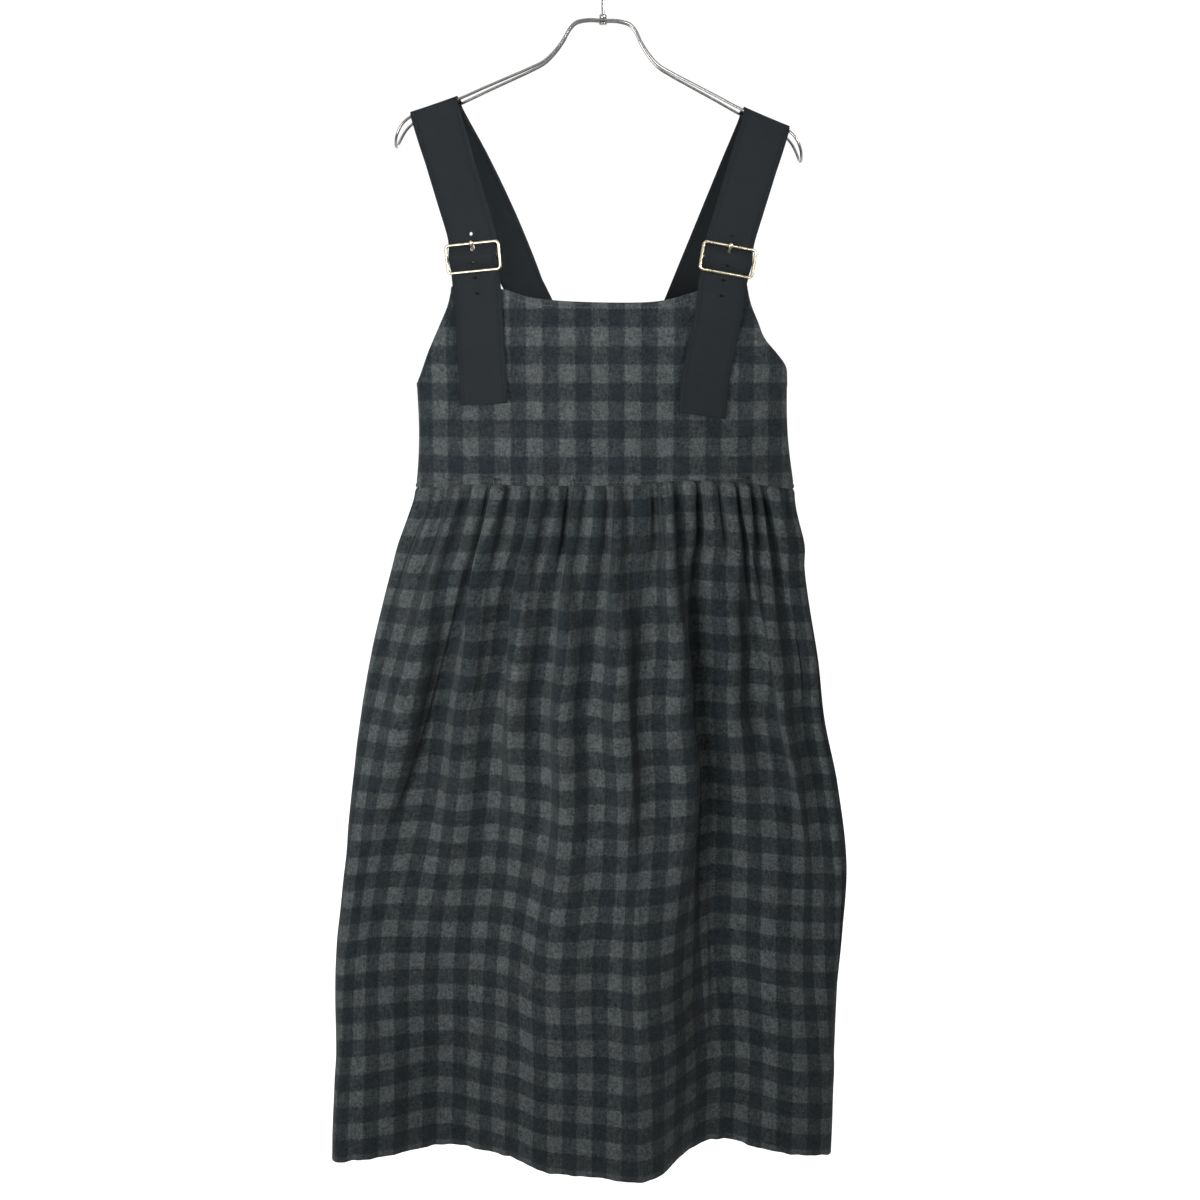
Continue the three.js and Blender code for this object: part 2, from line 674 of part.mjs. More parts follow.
// Flat webbing through stations, each with its middle and the direction of its width.
function ribbon(stations, width, thick, stepsBetween) {
  const route = new THREE.CatmullRomCurve3(stations.map((station) => station.middle));
  const spans = stations.length - 1;
  const steps = spans * stepsBetween;
  const rings = [];
  for (let i = 0; i <= steps; i += 1) {
    const t = i / steps;
    const index = Math.min(Math.floor(t * spans), spans - 1);
    const share = t * spans - index;
    const middle = route.getPoint(t);
    const ahead = route.getTangent(t);
    const broad = stations[index].broad.clone().lerp(stations[index + 1].broad, share).normalize();
    const face = new THREE.Vector3().crossVectors(broad, ahead).normalize();
    rings.push(
      [
        [-1, -1],
        [1, -1],
        [1, 1],
        [-1, 1],
      ].map(([sideways, outward]) =>
        middle
          .clone()
          .addScaledVector(broad, (sideways * width) / 2)
          .addScaledVector(face, (outward * thick) / 2),
      ),
    );
  }
  return skin(rings);
}

// Booleans between closed bodies
function toSolid(geometry) {
  const bare = geometry.clone();
  bare.deleteAttribute('normal');
  if (bare.getAttribute('uv')) bare.deleteAttribute('uv');
  const merged = mergeVertices(bare, SAME_POINT);
  return new wasm.Manifold(
    new wasm.Mesh({
      numProp: 3,
      vertProperties: new Float32Array(merged.getAttribute('position').array),
      triVerts: new Uint32Array(merged.getIndex().array),
    }),
  );
}

function toGeometry(solid) {
  const mesh = solid.getMesh();
  const geometry = new THREE.BufferGeometry();
  geometry.setAttribute('position', new THREE.BufferAttribute(mesh.vertProperties, 3));
  geometry.setIndex(new THREE.BufferAttribute(mesh.triVerts, 1));
  geometry.computeVertexNormals();
  return geometry;
}

function joined(...geometries) {
  return toGeometry(geometries.map(toSolid).reduce((whole, piece) => whole.add(piece)));
}

function cutBy(geometry, cutter) {
  return toGeometry(toSolid(geometry).subtract(toSolid(cutter)));
}

// Hanger: both wires run from tip to tip and turn round into each other there.
function shoulderPoint(x, side) {
  const away = Math.abs(x);
  const apart = columnAt(SHOULDER, 'x', away, 'apart');
  return new THREE.Vector3(x, -side * apart, columnAt(SHOULDER, 'x', away, 'z')).sub(neck);
}

function hangerWire() {
  const outward = SHOULDER.map((row) => row.x);
  const wireLine = (side) => [
    ...[...outward].reverse().slice(0, -1).map((x) => shoulderPoint(-x, side)),
    ...outward.map((x) => shoulderPoint(x, side)),
  ];
  const tip = (sign) => new THREE.Vector3(sign * TIP.x, 0, TIP.z).sub(neck);
  const route = [...wireLine(1), tip(1), ...wireLine(-1).reverse(), tip(-1)];
  const curve = new THREE.CatmullRomCurve3(route, true, 'centripetal');
  curve.arcLengthDivisions = WIRE.divisions;
  return wire(curve, WIRE.radius, WIRE.sides, WIRE.steps, true);
}

// Point of a wire, in the garment's frame, with the direction along it.
function wireAt(x, side) {
  const turn = new THREE.Quaternion().setFromAxisAngle(new THREE.Vector3(0, 1, 0), radians(NECK.tilt));
  const place = (value) => shoulderPoint(value, side).applyQuaternion(turn).add(neck);
  const along = place(x + WIRE.nearby).sub(place(x - WIRE.nearby)).normalize();
  return { point: place(x), along };
}

// Hook: the wire rises out of the neck, swings to one side and turns over the rail.
function hook() {
  const bend = HOOK.inside + HOOK.radius;
  const centreZ = -HOOK.inside;
  const arc = (degrees) =>
    new THREE.Vector3(
      bend * Math.cos(radians(degrees)),
      0,
      centreZ + bend * Math.sin(radians(degrees)),
    );
  const stemEnd = NECK.z - WIRE.radius - GAP - HEAD.height / 2;
  const route = [
    new THREE.Vector3(0, 0, stemEnd),
    new THREE.Vector3(0, 0, NECK.z + HOOK.rise),
    new THREE.Vector3(0, 0, HOOK_STEM.top - HOOK_STEM.ease),
    new THREE.Vector3(HOOK_STEM.swing, 0, HOOK_STEM.top + HOOK_STEM.ease),
    ...HOOK_BEND.map(arc),
  ];
  const curve = new THREE.CatmullRomCurve3(route, false, 'centripetal');
  const head = lathe([
    [0, -HEAD.height / 2],
    [HEAD.radius * HEAD.underside, -HEAD.height / 2],
    [HEAD.radius, -HEAD.height * HEAD.lip],
    [HEAD.radius, HEAD.height / 2],
    [0, HEAD.height / 2],
  ]);
  head.translate(0, 0, stemEnd);
  return joined(wire(curve, HOOK.radius, HOOK.sides, HOOK.steps), head);
}

function lathe(profile) {
  const points = profile.map(([radius, height]) => new THREE.Vector2(radius, height));
  return new THREE.LatheGeometry(points, TURNED_SIDES).rotateX(Math.PI / 2);
}

function collar() {
  const low = -COLLAR.height / 2;
  const high = COLLAR.height / 2;
  const bore = HOOK.radius + COLLAR.clearance;
  return lathe([
    [bore, low],
    [COLLAR.outer, low],
    [COLLAR.outer, high - COLLAR.chamfer],
    [COLLAR.outer - COLLAR.chamfer, high],
    [bore, high],
    [bore, low],
  ]);
}

// Buckle, in its own frame: a wire rectangle with a straight bar across its middle.
function buckleFrame() {
  const x = BUCKLE.width / 2 - BUCKLE.corner;
  const z = BUCKLE.height / 2 - BUCKLE.corner;
  const corners = [
    [x, z, 0],
    [-x, z, 90],
    [-x, -z, 180],
    [x, -z, 270],
  ];
  const rings = corners.flatMap(([centreX, centreZ, start]) =>
    CORNER_TURNS.map((step) => {
      const angle = radians(start + step);
      const outward = new THREE.Vector3(Math.cos(angle), 0, Math.sin(angle));
      const centre = new THREE.Vector3(centreX, 0, centreZ).addScaledVector(outward, BUCKLE.corner);
      return Array.from({ length: BUCKLE.sides }, (_, k) => {
        const turn = (2 * Math.PI * k) / BUCKLE.sides;
        return centre
          .clone()
          .addScaledVector(outward, BUCKLE.wire * Math.cos(turn))
          .add(new THREE.Vector3(0, BUCKLE.wire * Math.sin(turn), 0));
      });
    }),
  );
  const bar = new THREE.CylinderGeometry(BUCKLE.bar, BUCKLE.bar, BUCKLE.width, BUCKLE.sides);
  bar.rotateZ(Math.PI / 2).translate(0, BUCKLE.barBack, 0);
  return joined(skin(rings, true), bar);
}

// Prong: a ring round the bar and a flat tongue that comes through the webbing over the frame.
function prong() {
  const ringRadius = BUCKLE.bar + GAP + PRONG.ring;
  const ring = new THREE.TorusGeometry(ringRadius, PRONG.ring, PRONG.ringSides, PRONG.ringSteps);
  ring.rotateY(Math.PI / 2).translate(0, BUCKLE.barBack, 0);
  const rings = TONGUE.map(({ y, z, wide, thick }) =>
    Array.from({ length: PRONG.sides }, (_, k) => {
      const turn = (2 * Math.PI * k) / PRONG.sides;
      const sideways = PRONG.halfWidth * wide * Math.cos(turn);
      return new THREE.Vector3(sideways, y + PRONG.halfThick * thick * Math.sin(turn), z);
    }),
  );
  return joined(ring, skin(rings));
}

// Frame of a buckle: its place, and its turn as seen from the front and from above.
function buckleFrameMatrix(strap) {
  const { x, z, roll, yaw } = strap.buckle;
  const y = bibDepth(x, BUCKLE_HANG_Z) - BUCKLE_BEFORE_BIB;
  const turn = new THREE.Quaternion()
    .setFromAxisAngle(new THREE.Vector3(0, 0, 1), radians(-yaw))
    .multiply(new THREE.Quaternion().setFromAxisAngle(new THREE.Vector3(0, 1, 0), radians(roll)));
  return new THREE.Matrix4().compose(new THREE.Vector3(x, y, z), turn, new THREE.Vector3(1, 1, 1));
}

// A strap's stations from its back end, up over both wires, through the buckle and down the bib.
function strapStations(strap) {
  const frame = buckleFrameMatrix(strap);
  const across = (matrix) => new THREE.Vector3(1, 0, 0).transformDirection(matrix);
  const inFrame = (y, z) => new THREE.Vector3(0, y, z).applyMatrix4(frame);
  const rest = BUCKLE.wire + GAP + WEBBING.thick / 2;
  const overLoop =
    BUCKLE.barBack - BUCKLE.bar - 2 * GAP - LOOP_WEBBING.thick - GAP - WEBBING.thick / 2;
  const half = BUCKLE.height / 2;
  const frontWire = wireAt(strap.wireX, 1);
  const backWire = wireAt(strap.backX, -1);
  const clear = WIRE.radius + GAP + WEBBING.bow + WEBBING.thick / 2;
  const round = (wirePoint, degrees) => {
    const angle = radians(degrees);
    const offset = new THREE.Vector3(0, clear * Math.cos(angle), clear * Math.sin(angle));
    return { middle: wirePoint.point.clone().add(offset), broad: wirePoint.along };
  };
  const backRun = strapBackRun(strap, round(backWire, OVER_WIRES.back));
  const top = inFrame(rest, half + THROUGH.before);
  const run = round(frontWire, OVER_WIRES.front);
  const level = across(frame);
  const leveled = (share) => smoothstep(share, LEVEL_AFTER.from, LEVEL_AFTER.to);
  const frontRun = FRONT_SHARES.map((share) => ({
    middle: run.middle.clone().lerp(top, share),
    broad: frontWire.along.clone().lerp(level, leveled(share)).normalize(),
  }));
  const dip = round(frontWire, 90).middle.lerp(round(backWire, 90).middle, 0.5);
  dip.z -= DIP;
  const beside = lerp(rest, overLoop, THROUGH.towardLoop);
  const tail = strap.tail.map(({ x, z, lift }) => {
    const depth = bibDepth(x, z) - CLOTH_WALL / 2 - lift;
    return { middle: new THREE.Vector3(x, depth, z), broad: tailBroad(strap, x, z) };
  });
  return [
    ...backRun,
    ...OVER_WIRES.backTurns.map((degrees) => round(backWire, degrees)),
    { middle: dip, broad: backWire.along.clone().lerp(frontWire.along, 0.5).normalize() },
    ...OVER_WIRES.frontTurns.map((degrees) => round(frontWire, degrees)),
    ...frontRun,
    { middle: top, broad: level },
    { middle: inFrame(rest, half), broad: level },
    { middle: inFrame(rest - THROUGH.tuck, half * THROUGH.near), broad: level },
    { middle: inFrame(beside, half * THROUGH.beside), broad: level },
    { middle: inFrame(overLoop, 0), broad: level },
    { middle: inFrame(beside, -half * THROUGH.beside), broad: level },
    { middle: inFrame(rest - THROUGH.tuck, -half * THROUGH.near), broad: level },
    { middle: inFrame(rest, -half), broad: level },
    ...tail,
  ];
}

// Direction of the tail's width: along the bib's face, with the tail's own slant.
function tailBroad(strap, x, z) {
  const first = strap.tail[0];
  const last = strap.tail[strap.tail.length - 1];
  const slant = (last.x - first.x) / (first.z - last.z);
  return new THREE.Vector3(1, bibSlope(x, z), slant).normalize();
}

// The strap's back part, from inside the back panel up to the back wire.
function strapBackRun(strap, wireEnd) {
  const inside = CLOTH_WALL / 2 + GAP + 2 * WEBBING.bow + WEBBING.thick / 2;
  const panelDepth = (x, z) => {
    const curve = new PlanCurve(z, 0, -1, []);
    return curve.at(curve.distanceAt(x)).y - inside;
  };
  const low = strap.backEnd;
  const high = strap.backTop;
  const lowMiddle = new THREE.Vector3(low.x, panelDepth(low.x, low.z), low.z);
  const highMiddle = new THREE.Vector3(high.x, panelDepth(high.x, high.z), high.z);
  const rise = panelDepth(high.x + WIDE_REACH, high.z) - panelDepth(high.x - WIDE_REACH, high.z);
  const slope = rise / (2 * WIDE_REACH);
  const lean = (highMiddle.x - lowMiddle.x) / (highMiddle.z - lowMiddle.z);
  const level = new THREE.Vector3(1, slope, -lean).normalize();
  const inward = -Math.sign(strap.wireX);
  const turned = level.clone().add(new THREE.Vector3(0, inward * strap.climb.twist, 0)).normalize();
  const bow = new THREE.Vector3(4 * inward * strap.climb.bow, 0, 0);
  const climb = BACK_SHARES.map((share) => ({
    middle: highMiddle.clone().lerp(wireEnd.middle, share).addScaledVector(bow, share * (1 - share)),
    broad: level
      .clone()
      .lerp(turned, smoothstep(share, 0, TWISTED_BY))
      .lerp(wireEnd.broad, share)
      .normalize(),
  }));
  return [
    { middle: lowMiddle, broad: level },
    { middle: highMiddle, broad: level },
    ...climb,
    wireEnd,
  ];
}

function shoulderStrap(strap) {
  const webbing = ribbon(strapStations(strap), WEBBING.width, WEBBING.thick, STRAP_STEPS);
  const { low, high, halfWidth, depth } = PRONG_HOLE;
  const hole = new THREE.BoxGeometry(2 * halfWidth, depth, high - low);
  hole.translate(0, 0, (low + high) / 2).applyMatrix4(buckleFrameMatrix(strap));
  return cutBy(webbing, hole);
}

// Loop of webbing that holds the buckle's bar and is sewn to both faces of the bib's corner.
function buckleLoop(strap) {
  const frame = buckleFrameMatrix(strap);
  const broad = new THREE.Vector3(1, 0, 0).transformDirection(frame);
  const clear = BUCKLE.bar + 2 * GAP + LOOP_WEBBING.thick / 2;
  const round = (degrees) => {
    const angle = radians(degrees);
    const point = new THREE.Vector3(0, clear * Math.cos(angle), clear * Math.sin(angle));
    point.y += BUCKLE.barBack;
    return { middle: point.applyMatrix4(frame), broad };
  };
  const sewn = CLOTH_WALL / 2 + LOOP_WEBBING.offBib + LOOP_WEBBING.thick / 2;
  const onBib = (z, side) => {
    const drop = new THREE.Vector3(0, BUCKLE.barBack, -clear).applyMatrix4(frame);
    const { x } = drop;
    const middle = new THREE.Vector3(x, bibDepth(x, z) + side * sewn, z);
    const turned = new THREE.Vector3(1, bibSlope(x, z), broad.z / broad.x).normalize();
    return { middle, broad: turned };
  };
  const inFrame = ({ y, z }) => ({ middle: new THREE.Vector3(0, y, z).applyMatrix4(frame), broad });
  const strip = ribbon(
    [
      ...[...LOOP_HEIGHTS].reverse().map((z) => onBib(z, 1)),
      inFrame(LOOP_REAR),
      ...LOOP_TURNS.map(round),
      ...LOOP_FACE.map(inFrame),
      ...LOOP_HEIGHTS.map((z) => onBib(z, -1)),
    ],
    LOOP_WEBBING.width,
    LOOP_WEBBING.thick,
    1,
  );
  const slot = new THREE.BoxGeometry(LOOP_SLOT.width, LOOP_SLOT.depth, LOOP_SLOT.height);
  slot.translate(0, BUCKLE.barBack, LOOP_SLOT.middle).applyMatrix4(frame);
  return cutBy(strip, slot);
}

function piece(name, geometry, finish) {
  const mesh = new THREE.Mesh(geometry, new THREE.MeshStandardMaterial(MATERIALS[finish]));
  mesh.name = name;
  return mesh;
}

const dress = new THREE.Group();

dress.add(
  piece('skirt_front', skirtPanel(0), 'flannel'),
  piece('skirt_back', skirtPanel(PANEL_WIDTH), 'flannel'),
  piece('bib_front', bodicePanel(1, BIB_TOP, BIB_ROWS, BIB_COLUMNS), 'flannel'),
  piece('bodice_back', bodicePanel(-1, BACK_TOP, BACK_ROWS, BACK_COLUMNS), 'flannel'),
);

for (const side of STRAPS) {
  dress.add(piece(`strap_${side.name}`, shoulderStrap(side), 'webbing'));
  dress.add(piece(`buckle_loop_${side.name}`, buckleLoop(side), 'webbing'));
  const buckle = new THREE.Group();
  buckle.applyMatrix4(buckleFrameMatrix(side));
  buckle.add(piece(`buckle_${side.name}`, buckleFrame(), 'nickel'));
  buckle.add(piece(`prong_${side.name}`, prong(), 'nickel'));
  dress.add(buckle);
}

const hanger = new THREE.Group();
hanger.position.copy(neck);
hanger.rotation.y = radians(NECK.tilt);
hanger.add(piece('hanger_wire', hangerWire(), 'chrome'));
dress.add(hanger);

const ring = piece('hanger_collar', collar(), 'chrome');
ring.position.z = NECK.z + WIRE.radius + GAP + COLLAR.height / 2;
dress.add(ring, piece('hanger_hook', hook(), 'chrome'));

export default dress;
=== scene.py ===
"""Gathered pinafore dress with buckled webbing straps on a hanger of two bright wires.

Sizes inside the classes are millimetres. The front of the garment faces toward -Y and the origin
is the top of the hook's inside, where the rail bears.
"""

import logging
import math
from dataclasses import dataclass, field
from enum import Enum
from typing import Callable, Iterable, Sequence

import bmesh
import bpy
import numpy as np
from mathutils import Euler, Matrix, Vector


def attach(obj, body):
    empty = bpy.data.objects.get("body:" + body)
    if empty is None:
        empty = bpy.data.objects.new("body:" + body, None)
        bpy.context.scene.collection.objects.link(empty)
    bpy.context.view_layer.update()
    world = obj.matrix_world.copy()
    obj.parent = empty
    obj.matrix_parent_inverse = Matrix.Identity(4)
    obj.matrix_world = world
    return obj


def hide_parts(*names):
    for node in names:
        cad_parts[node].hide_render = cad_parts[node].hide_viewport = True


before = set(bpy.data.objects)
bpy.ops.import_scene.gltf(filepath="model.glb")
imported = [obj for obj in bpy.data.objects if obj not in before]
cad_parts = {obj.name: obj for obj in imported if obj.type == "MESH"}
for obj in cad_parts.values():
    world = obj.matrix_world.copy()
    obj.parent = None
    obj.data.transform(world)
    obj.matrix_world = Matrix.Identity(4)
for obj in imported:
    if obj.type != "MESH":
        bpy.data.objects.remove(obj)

log = logging.getLogger("pinafore")

MM = 0.001
CLOTH_UV = "Cloth"
BODY = "root"
NOTHING = 1e-9


class Side(Enum):
    """A face of the garment."""

    FRONT = 1
    BACK = -1


class Hand(Enum):
    """A side of the garment as seen from the front."""

    LEFT = "left"
    RIGHT = "right"


# Numbers that vary: tables and noise


class Table:
    """Smooth curve through rows of values, read at any place between them."""

    def __init__(self, *rows: Sequence[float]) -> None:
        """Keeps the rows in rising order of their first number.

        Args:
            rows: The place and then the values there.
        """
        data = np.array(sorted(rows), float)
        self.key, self.values = data[:, 0], data[:, 1:]

    def at(self, place: np.ndarray | float, column: int = 0) -> np.ndarray:
        """Value of one column at each place.

        Args:
            place: Where to read.
            column: Which value of the rows.

        Returns:
            The values, held at the table's ends.
        """
        key, value = self.key, self.values[:, column]
        place = np.clip(np.asarray(place, float), key[0], key[-1])
        row = np.clip(np.searchsorted(key, place, side="right") - 1, 0, len(key) - 2)
        before, after = np.maximum(row - 1, 0), np.minimum(row + 2, len(key) - 1)
        run = key[row + 1] - key[row]
        t = (place - key[row]) / run
        leave = (value[row + 1] - value[before]) / (key[row + 1] - key[before]) * run
        arrive = (value[after] - value[row]) / (key[after] - key[row]) * run
        t2, t3 = t * t, t * t * t
        return (
            (2 * t3 - 3 * t2 + 1) * value[row]
            + (t3 - 2 * t2 + t) * leave
            + (3 * t2 - 2 * t3) * value[row + 1]
            + (t3 - t2) * arrive
        )


def smoothstep(value: np.ndarray | float, low: float, high: float) -> np.ndarray:
    """Rises smoothly from 0 at low to 1 at high."""
    t = np.clip((np.asarray(value, float) - low) / (high - low), 0, 1)
    return t * t * (3 - 2 * t)


class SoftNoise:
    """Smooth uneven relief over a sheet of cloth, the same on each run."""

    counts = (61, 67)
    first = (7.3, 11.9)

    def __init__(self, seed: int, cell: tuple[float, float]) -> None:
        """Draws the relief's knots.

        Args:
            seed: Picks one of many reliefs.
            cell: How far apart its knots lie, across and down.
        """
        self.knots = np.random.default_rng(seed).uniform(-1, 1, self.counts)
        self.cell = cell

    def at(self, across: np.ndarray, down: np.ndarray) -> np.ndarray:
        """Height of the relief, from -1 to 1.

        Args:
            across: Places across the cloth.
            down: Places down the cloth.

        Returns:
            One height for each place.
        """
        x, z = across / self.cell[0] + self.first[0], down / self.cell[1] + self.first[1]
        column, row = np.floor(x).astype(int), np.floor(z).astype(int)
        s, t = smoothstep(x - column, 0, 1), smoothstep(z - row, 0, 1)
        wide, high = self.knots.shape
        knot = lambda i, j: self.knots[(column + i) % wide, (row + j) % high]
        low = knot(0, 0) * (1 - s) + knot(1, 0) * s
        return low * (1 - t) + (knot(0, 1) * (1 - s) + knot(1, 1) * s) * t


# The garment's form


@dataclass(frozen=True)
class Fold:
    """A fold of a skirt panel: from and to down the skirt, its middle across the width at the
    start, halfway and at the end, half its width, its growing length and how far it stands out."""

    start: float
    end: float
    x_top: float
    x_mid: float
    x_end: float
    half: float
    grow: float
    out: float


@dataclass(frozen=True)
class Crease:
    """A sharp ridge on the front: from and to down the skirt, its line across the width at the
    start, halfway and at the end, and how far it stands out."""

    start: float
    end: float
    x_top: float
    x_mid: float
    x_end: float
    out: float
    slope: float = 8.0
    fall: float = 2.4
    taper: float = 30.0
    hollow: float = 0.45
    hollow_away: float = 8
    hollow_wide: float = 5

    def at(self, x: np.ndarray, down: float) -> np.ndarray:
        """Height of the ridge at places across the width."""
        if not self.start < down < self.end:
            return np.zeros_like(x)
        t = (down - self.start) / (self.end - self.start)
        bow = self.x_mid - (self.x_top + self.x_end) / 2
        away = x - (self.x_top + (self.x_end - self.x_top) * t + 4 * bow * t * (1 - t))
        ridge = np.where(away < 0, np.exp(away / self.slope), np.exp(-away / self.fall))
        hollow = self.hollow * np.exp(-(((away - self.hollow_away) / self.hollow_wide) ** 2))
        ends = smoothstep(down - self.start, 0, self.taper) * smoothstep(self.end - down, 0, 2 * self.taper)
        return self.out * float(ends) * (ridge - hollow)


@dataclass(frozen=True)
class Wave:
    """Small waves that take up cloth: how many go across a panel, where they are strongest down
    the skirt, over what length they die out, and how uneven they are."""

    count: int
    middle: float
    spread: float
    share: float
    start: float
    uneven: float
    beat: float


HEM_DOWN = 728.0
OUTLINE = Table(
    (-330, -190, 187, 33, 30, 2),
    (-428, -188, 186, 35, 35, 2),
    (-480, -187, 188, 36, 37, 2.1),
    (-530, -191, 195, 37, 38, 2.2),
    (-557, -199, 200, 38, 39, 2.3),
    (-590, -211, 208, 41, 41, 2.4),
    (-612, -217, 208, 43, 42, 2.5),
    (-648, -227, 213, 46, 44, 2.6),
    (-711, -243, 224, 50, 46, 2.8),
    (-776, -256, 232, 53, 48, 3),
    (-846, -266, 248, 55, 50, 3.4),
    (-929, -275, 260, 56, 52, 4),
    (-1008, -284, 257, 57, 53, 4.8),
    (-1071, -289, 253, 58, 54, 5.5),
    (-1135, -290, 251, 59, 55, 6.2),
    (-1262, -295, 249, 61, 56, 7.5),
)
LEFT, RIGHT, FRONT_DEPTH, BACK_DEPTH, SQUARE = range(5)
EDGES = {
    Side.FRONT: Table(
        (-294, -533, -1261),
        (-252, -533, -1250),
        (-190, -533, -1250),
        (-140, -528, -1254),
        (-92, -528, -1252),
        (-66, -528, -1260),
        (-20, -528, -1257),
        (30, -528, -1255),
        (70, -523.5, -1254),
        (110, -523.5, -1245),
        (150, -527, -1243),
        (194, -534, -1243),
        (248, -534, -1252),
    ),
    Side.BACK: Table(
        (-294, -533, -1261),
        (-190, -533, -1253),
        (0, -530, -1251),
        (194, -534, -1246),
        (248, -534, -1252),
    ),
}
WAIST, HEM = range(2)
SIDE_SEAMS = Table(
    (0, 0, 0), (180, -8, 10), (360, -16, 24), (480, -16, 24), (600, -12, 14), (728, -10, 13)
)
FOLDS = {
    Side.FRONT: (
        Fold(0, HEM_DOWN, -112, -176, -160, 97, 150, -36),
        Fold(25, 350, -134, -184, -236, 24, 60, 9),
        Fold(-30, 200, -98, -111, -124, 17, 30, 6),
        Fold(-30, 340, -60, -80, -96, 22, 40, 9),
        Fold(-30, 110, -36, -36, -37, 15, 20, -6),
        Fold(0, HEM_DOWN, 2, 8, 14, 112, 170, 24),
        Fold(110, HEM_DOWN, 20, 29, 41, 46, 160, 13),
        Fold(130, 620, 80, 98, 112, 22, 90, 7),
        Fold(0, HEM_DOWN, 118, 148, 124, 76, 150, -33),
        Fold(-40, 430, 126, 176, 222, 25, 40, 13),
        Fold(-30, 300, 150, 179, 206, 19, 30, -12),
        Fold(-30, 100, 107, 117, 128, 11, 20, 5),
    ),
    Side.BACK: (
        Fold(0, HEM_DOWN, 100, 136, 140, 84, 160, -30),
        Fold(40, 420, 150, 182, 210, 26, 60, 9),
        Fold(-30, 300, 62, 76, 88, 22, 40, 8),
        Fold(0, HEM_DOWN, -6, -12, -20, 104, 170, 20),
        Fold(-30, 160, 12, 14, 16, 16, 30, -6),
        Fold(120, HEM_DOWN, -10, -24, -38, 44, 160, 10),
        Fold(-30, 260, -66, -76, -88, 20, 40, 7),
        Fold(0, HEM_DOWN, -112, -154, -162, 80, 150, -34),
        Fold(20, 380, -140, -185, -226, 25, 50, 11),
    ),
}
CREASES = (
    Crease(70, 380, -140, -181.5, -232, 3.4, 11),
    Crease(-20, 250, -100, -121, -139, 3.0),
    Crease(-10, 400, -61, -87, -100, 2.6),
    Crease(-30, 110, -13, -13, -12, 2.0, 6),
    Crease(-30, 110, 9.9, 10, 11, 2.0, 6),
    Crease(150, 620, 21, 34, 41, 2.2),
    Crease(180, 640, 85, 107, 111, 2.6),
    Crease(-20, 110, 107, 118, 127, 2.0, 6),
    Crease(-20, 430, 124, 163, 207, 3.4, 9),
    Crease(20, 120, 174, 186, 190, 2.0, 6),
    Crease(-30, 70, -150, -156, -164, 1.8, 6),
    Crease(-30, 80, 44, 46, 48, 1.8, 6),
    Crease(-30, 90, 66, 68, 71, 1.8, 6),
    Crease(-30, 60, 88, 91, 95, 1.6, 5),
)
WAVES = (
    Wave(19, 0, 105, 1, 0.4, 0.7, 2.3),
    Wave(9, 210, 170, 0.8, 1.9, 0.8, 1.7),
    Wave(5, 620, 330, 0.8, 0.9, 0.6, 1.3),
)
ARMHOLE = Table(
    (-330, -149, 141.5),
    (-350, -153.5, 146.5),
    (-366, -160.5, 153.5),
    (-383, -168.5, 161),
    (-396, -174.5, 172.5),
    (-406, -178.5, 181),
    (-412, -180.8, 184.6),
    (-420, -184, 185.6),
    (-428, -188, 186),
)
TOP_EDGES = {
    Side.FRONT: Table(
        (-150, -333),
        (-100, -336),
        (-72, -344),
        (-30, -348),
        (35, -349),
        (62, -346.5),
        (86, -340),
        (104, -335),
        (145, -336),
    ),
    Side.BACK: Table(
        (-188, -428), (-130, -424), (-50, -419), (0, -420), (56, -419), (130, -424), (186, -428)
    ),
}


@dataclass(frozen=True)
class Form:
    """Sizes of the garment that its panels share."""

    panel_width: float = 670
    waist_z: float = -529
    hem_z: float = -1254
    armpit_z: float = -428
    gap: float = 0.3
    wall: float = 1.8
    fade_share: float = 0.4
    edge_calm: float = 10
    pinched_at_waist: float = 0.42
    pinch_length: float = 26
    wave_end: float = 34
    reach: float = 2

    @property
    def round_width(self) -> float:
        """Cloth right round the skirt."""
        return 2 * self.panel_width


FORM = Form()


def fold_at(folds: Iterable[Fold], x: np.ndarray, down: float) -> np.ndarray:
    """How far the folds together stand out.

    Args:
        folds: The panel's folds.
        x: Places across the width.
        down: How far down the skirt.

    Returns:
        Outward distance at each place.
    """
    total = np.zeros_like(x)
    for fold in folds:
        if down <= fold.start or down > fold.end:
            continue
        run = fold.end - fold.start
        t = (down - fold.start) / run
        bow = fold.x_mid - (fold.x_top + fold.x_end) / 2
        middle = fold.x_top + (fold.x_end - fold.x_top) * t + 4 * bow * t * (1 - t)
        away = np.clip(np.abs(x - middle) / fold.half, 0, 1)
        grown = 1 - math.exp(-(down - fold.start) / fold.grow)
        fades = fold.end < HEM_DOWN
        left = smoothstep(fold.end - down, 0, FORM.fade_share * run) if fades else 1
        total += fold.out * grown * left * np.cos(math.pi / 2 * away) ** 2
    return total


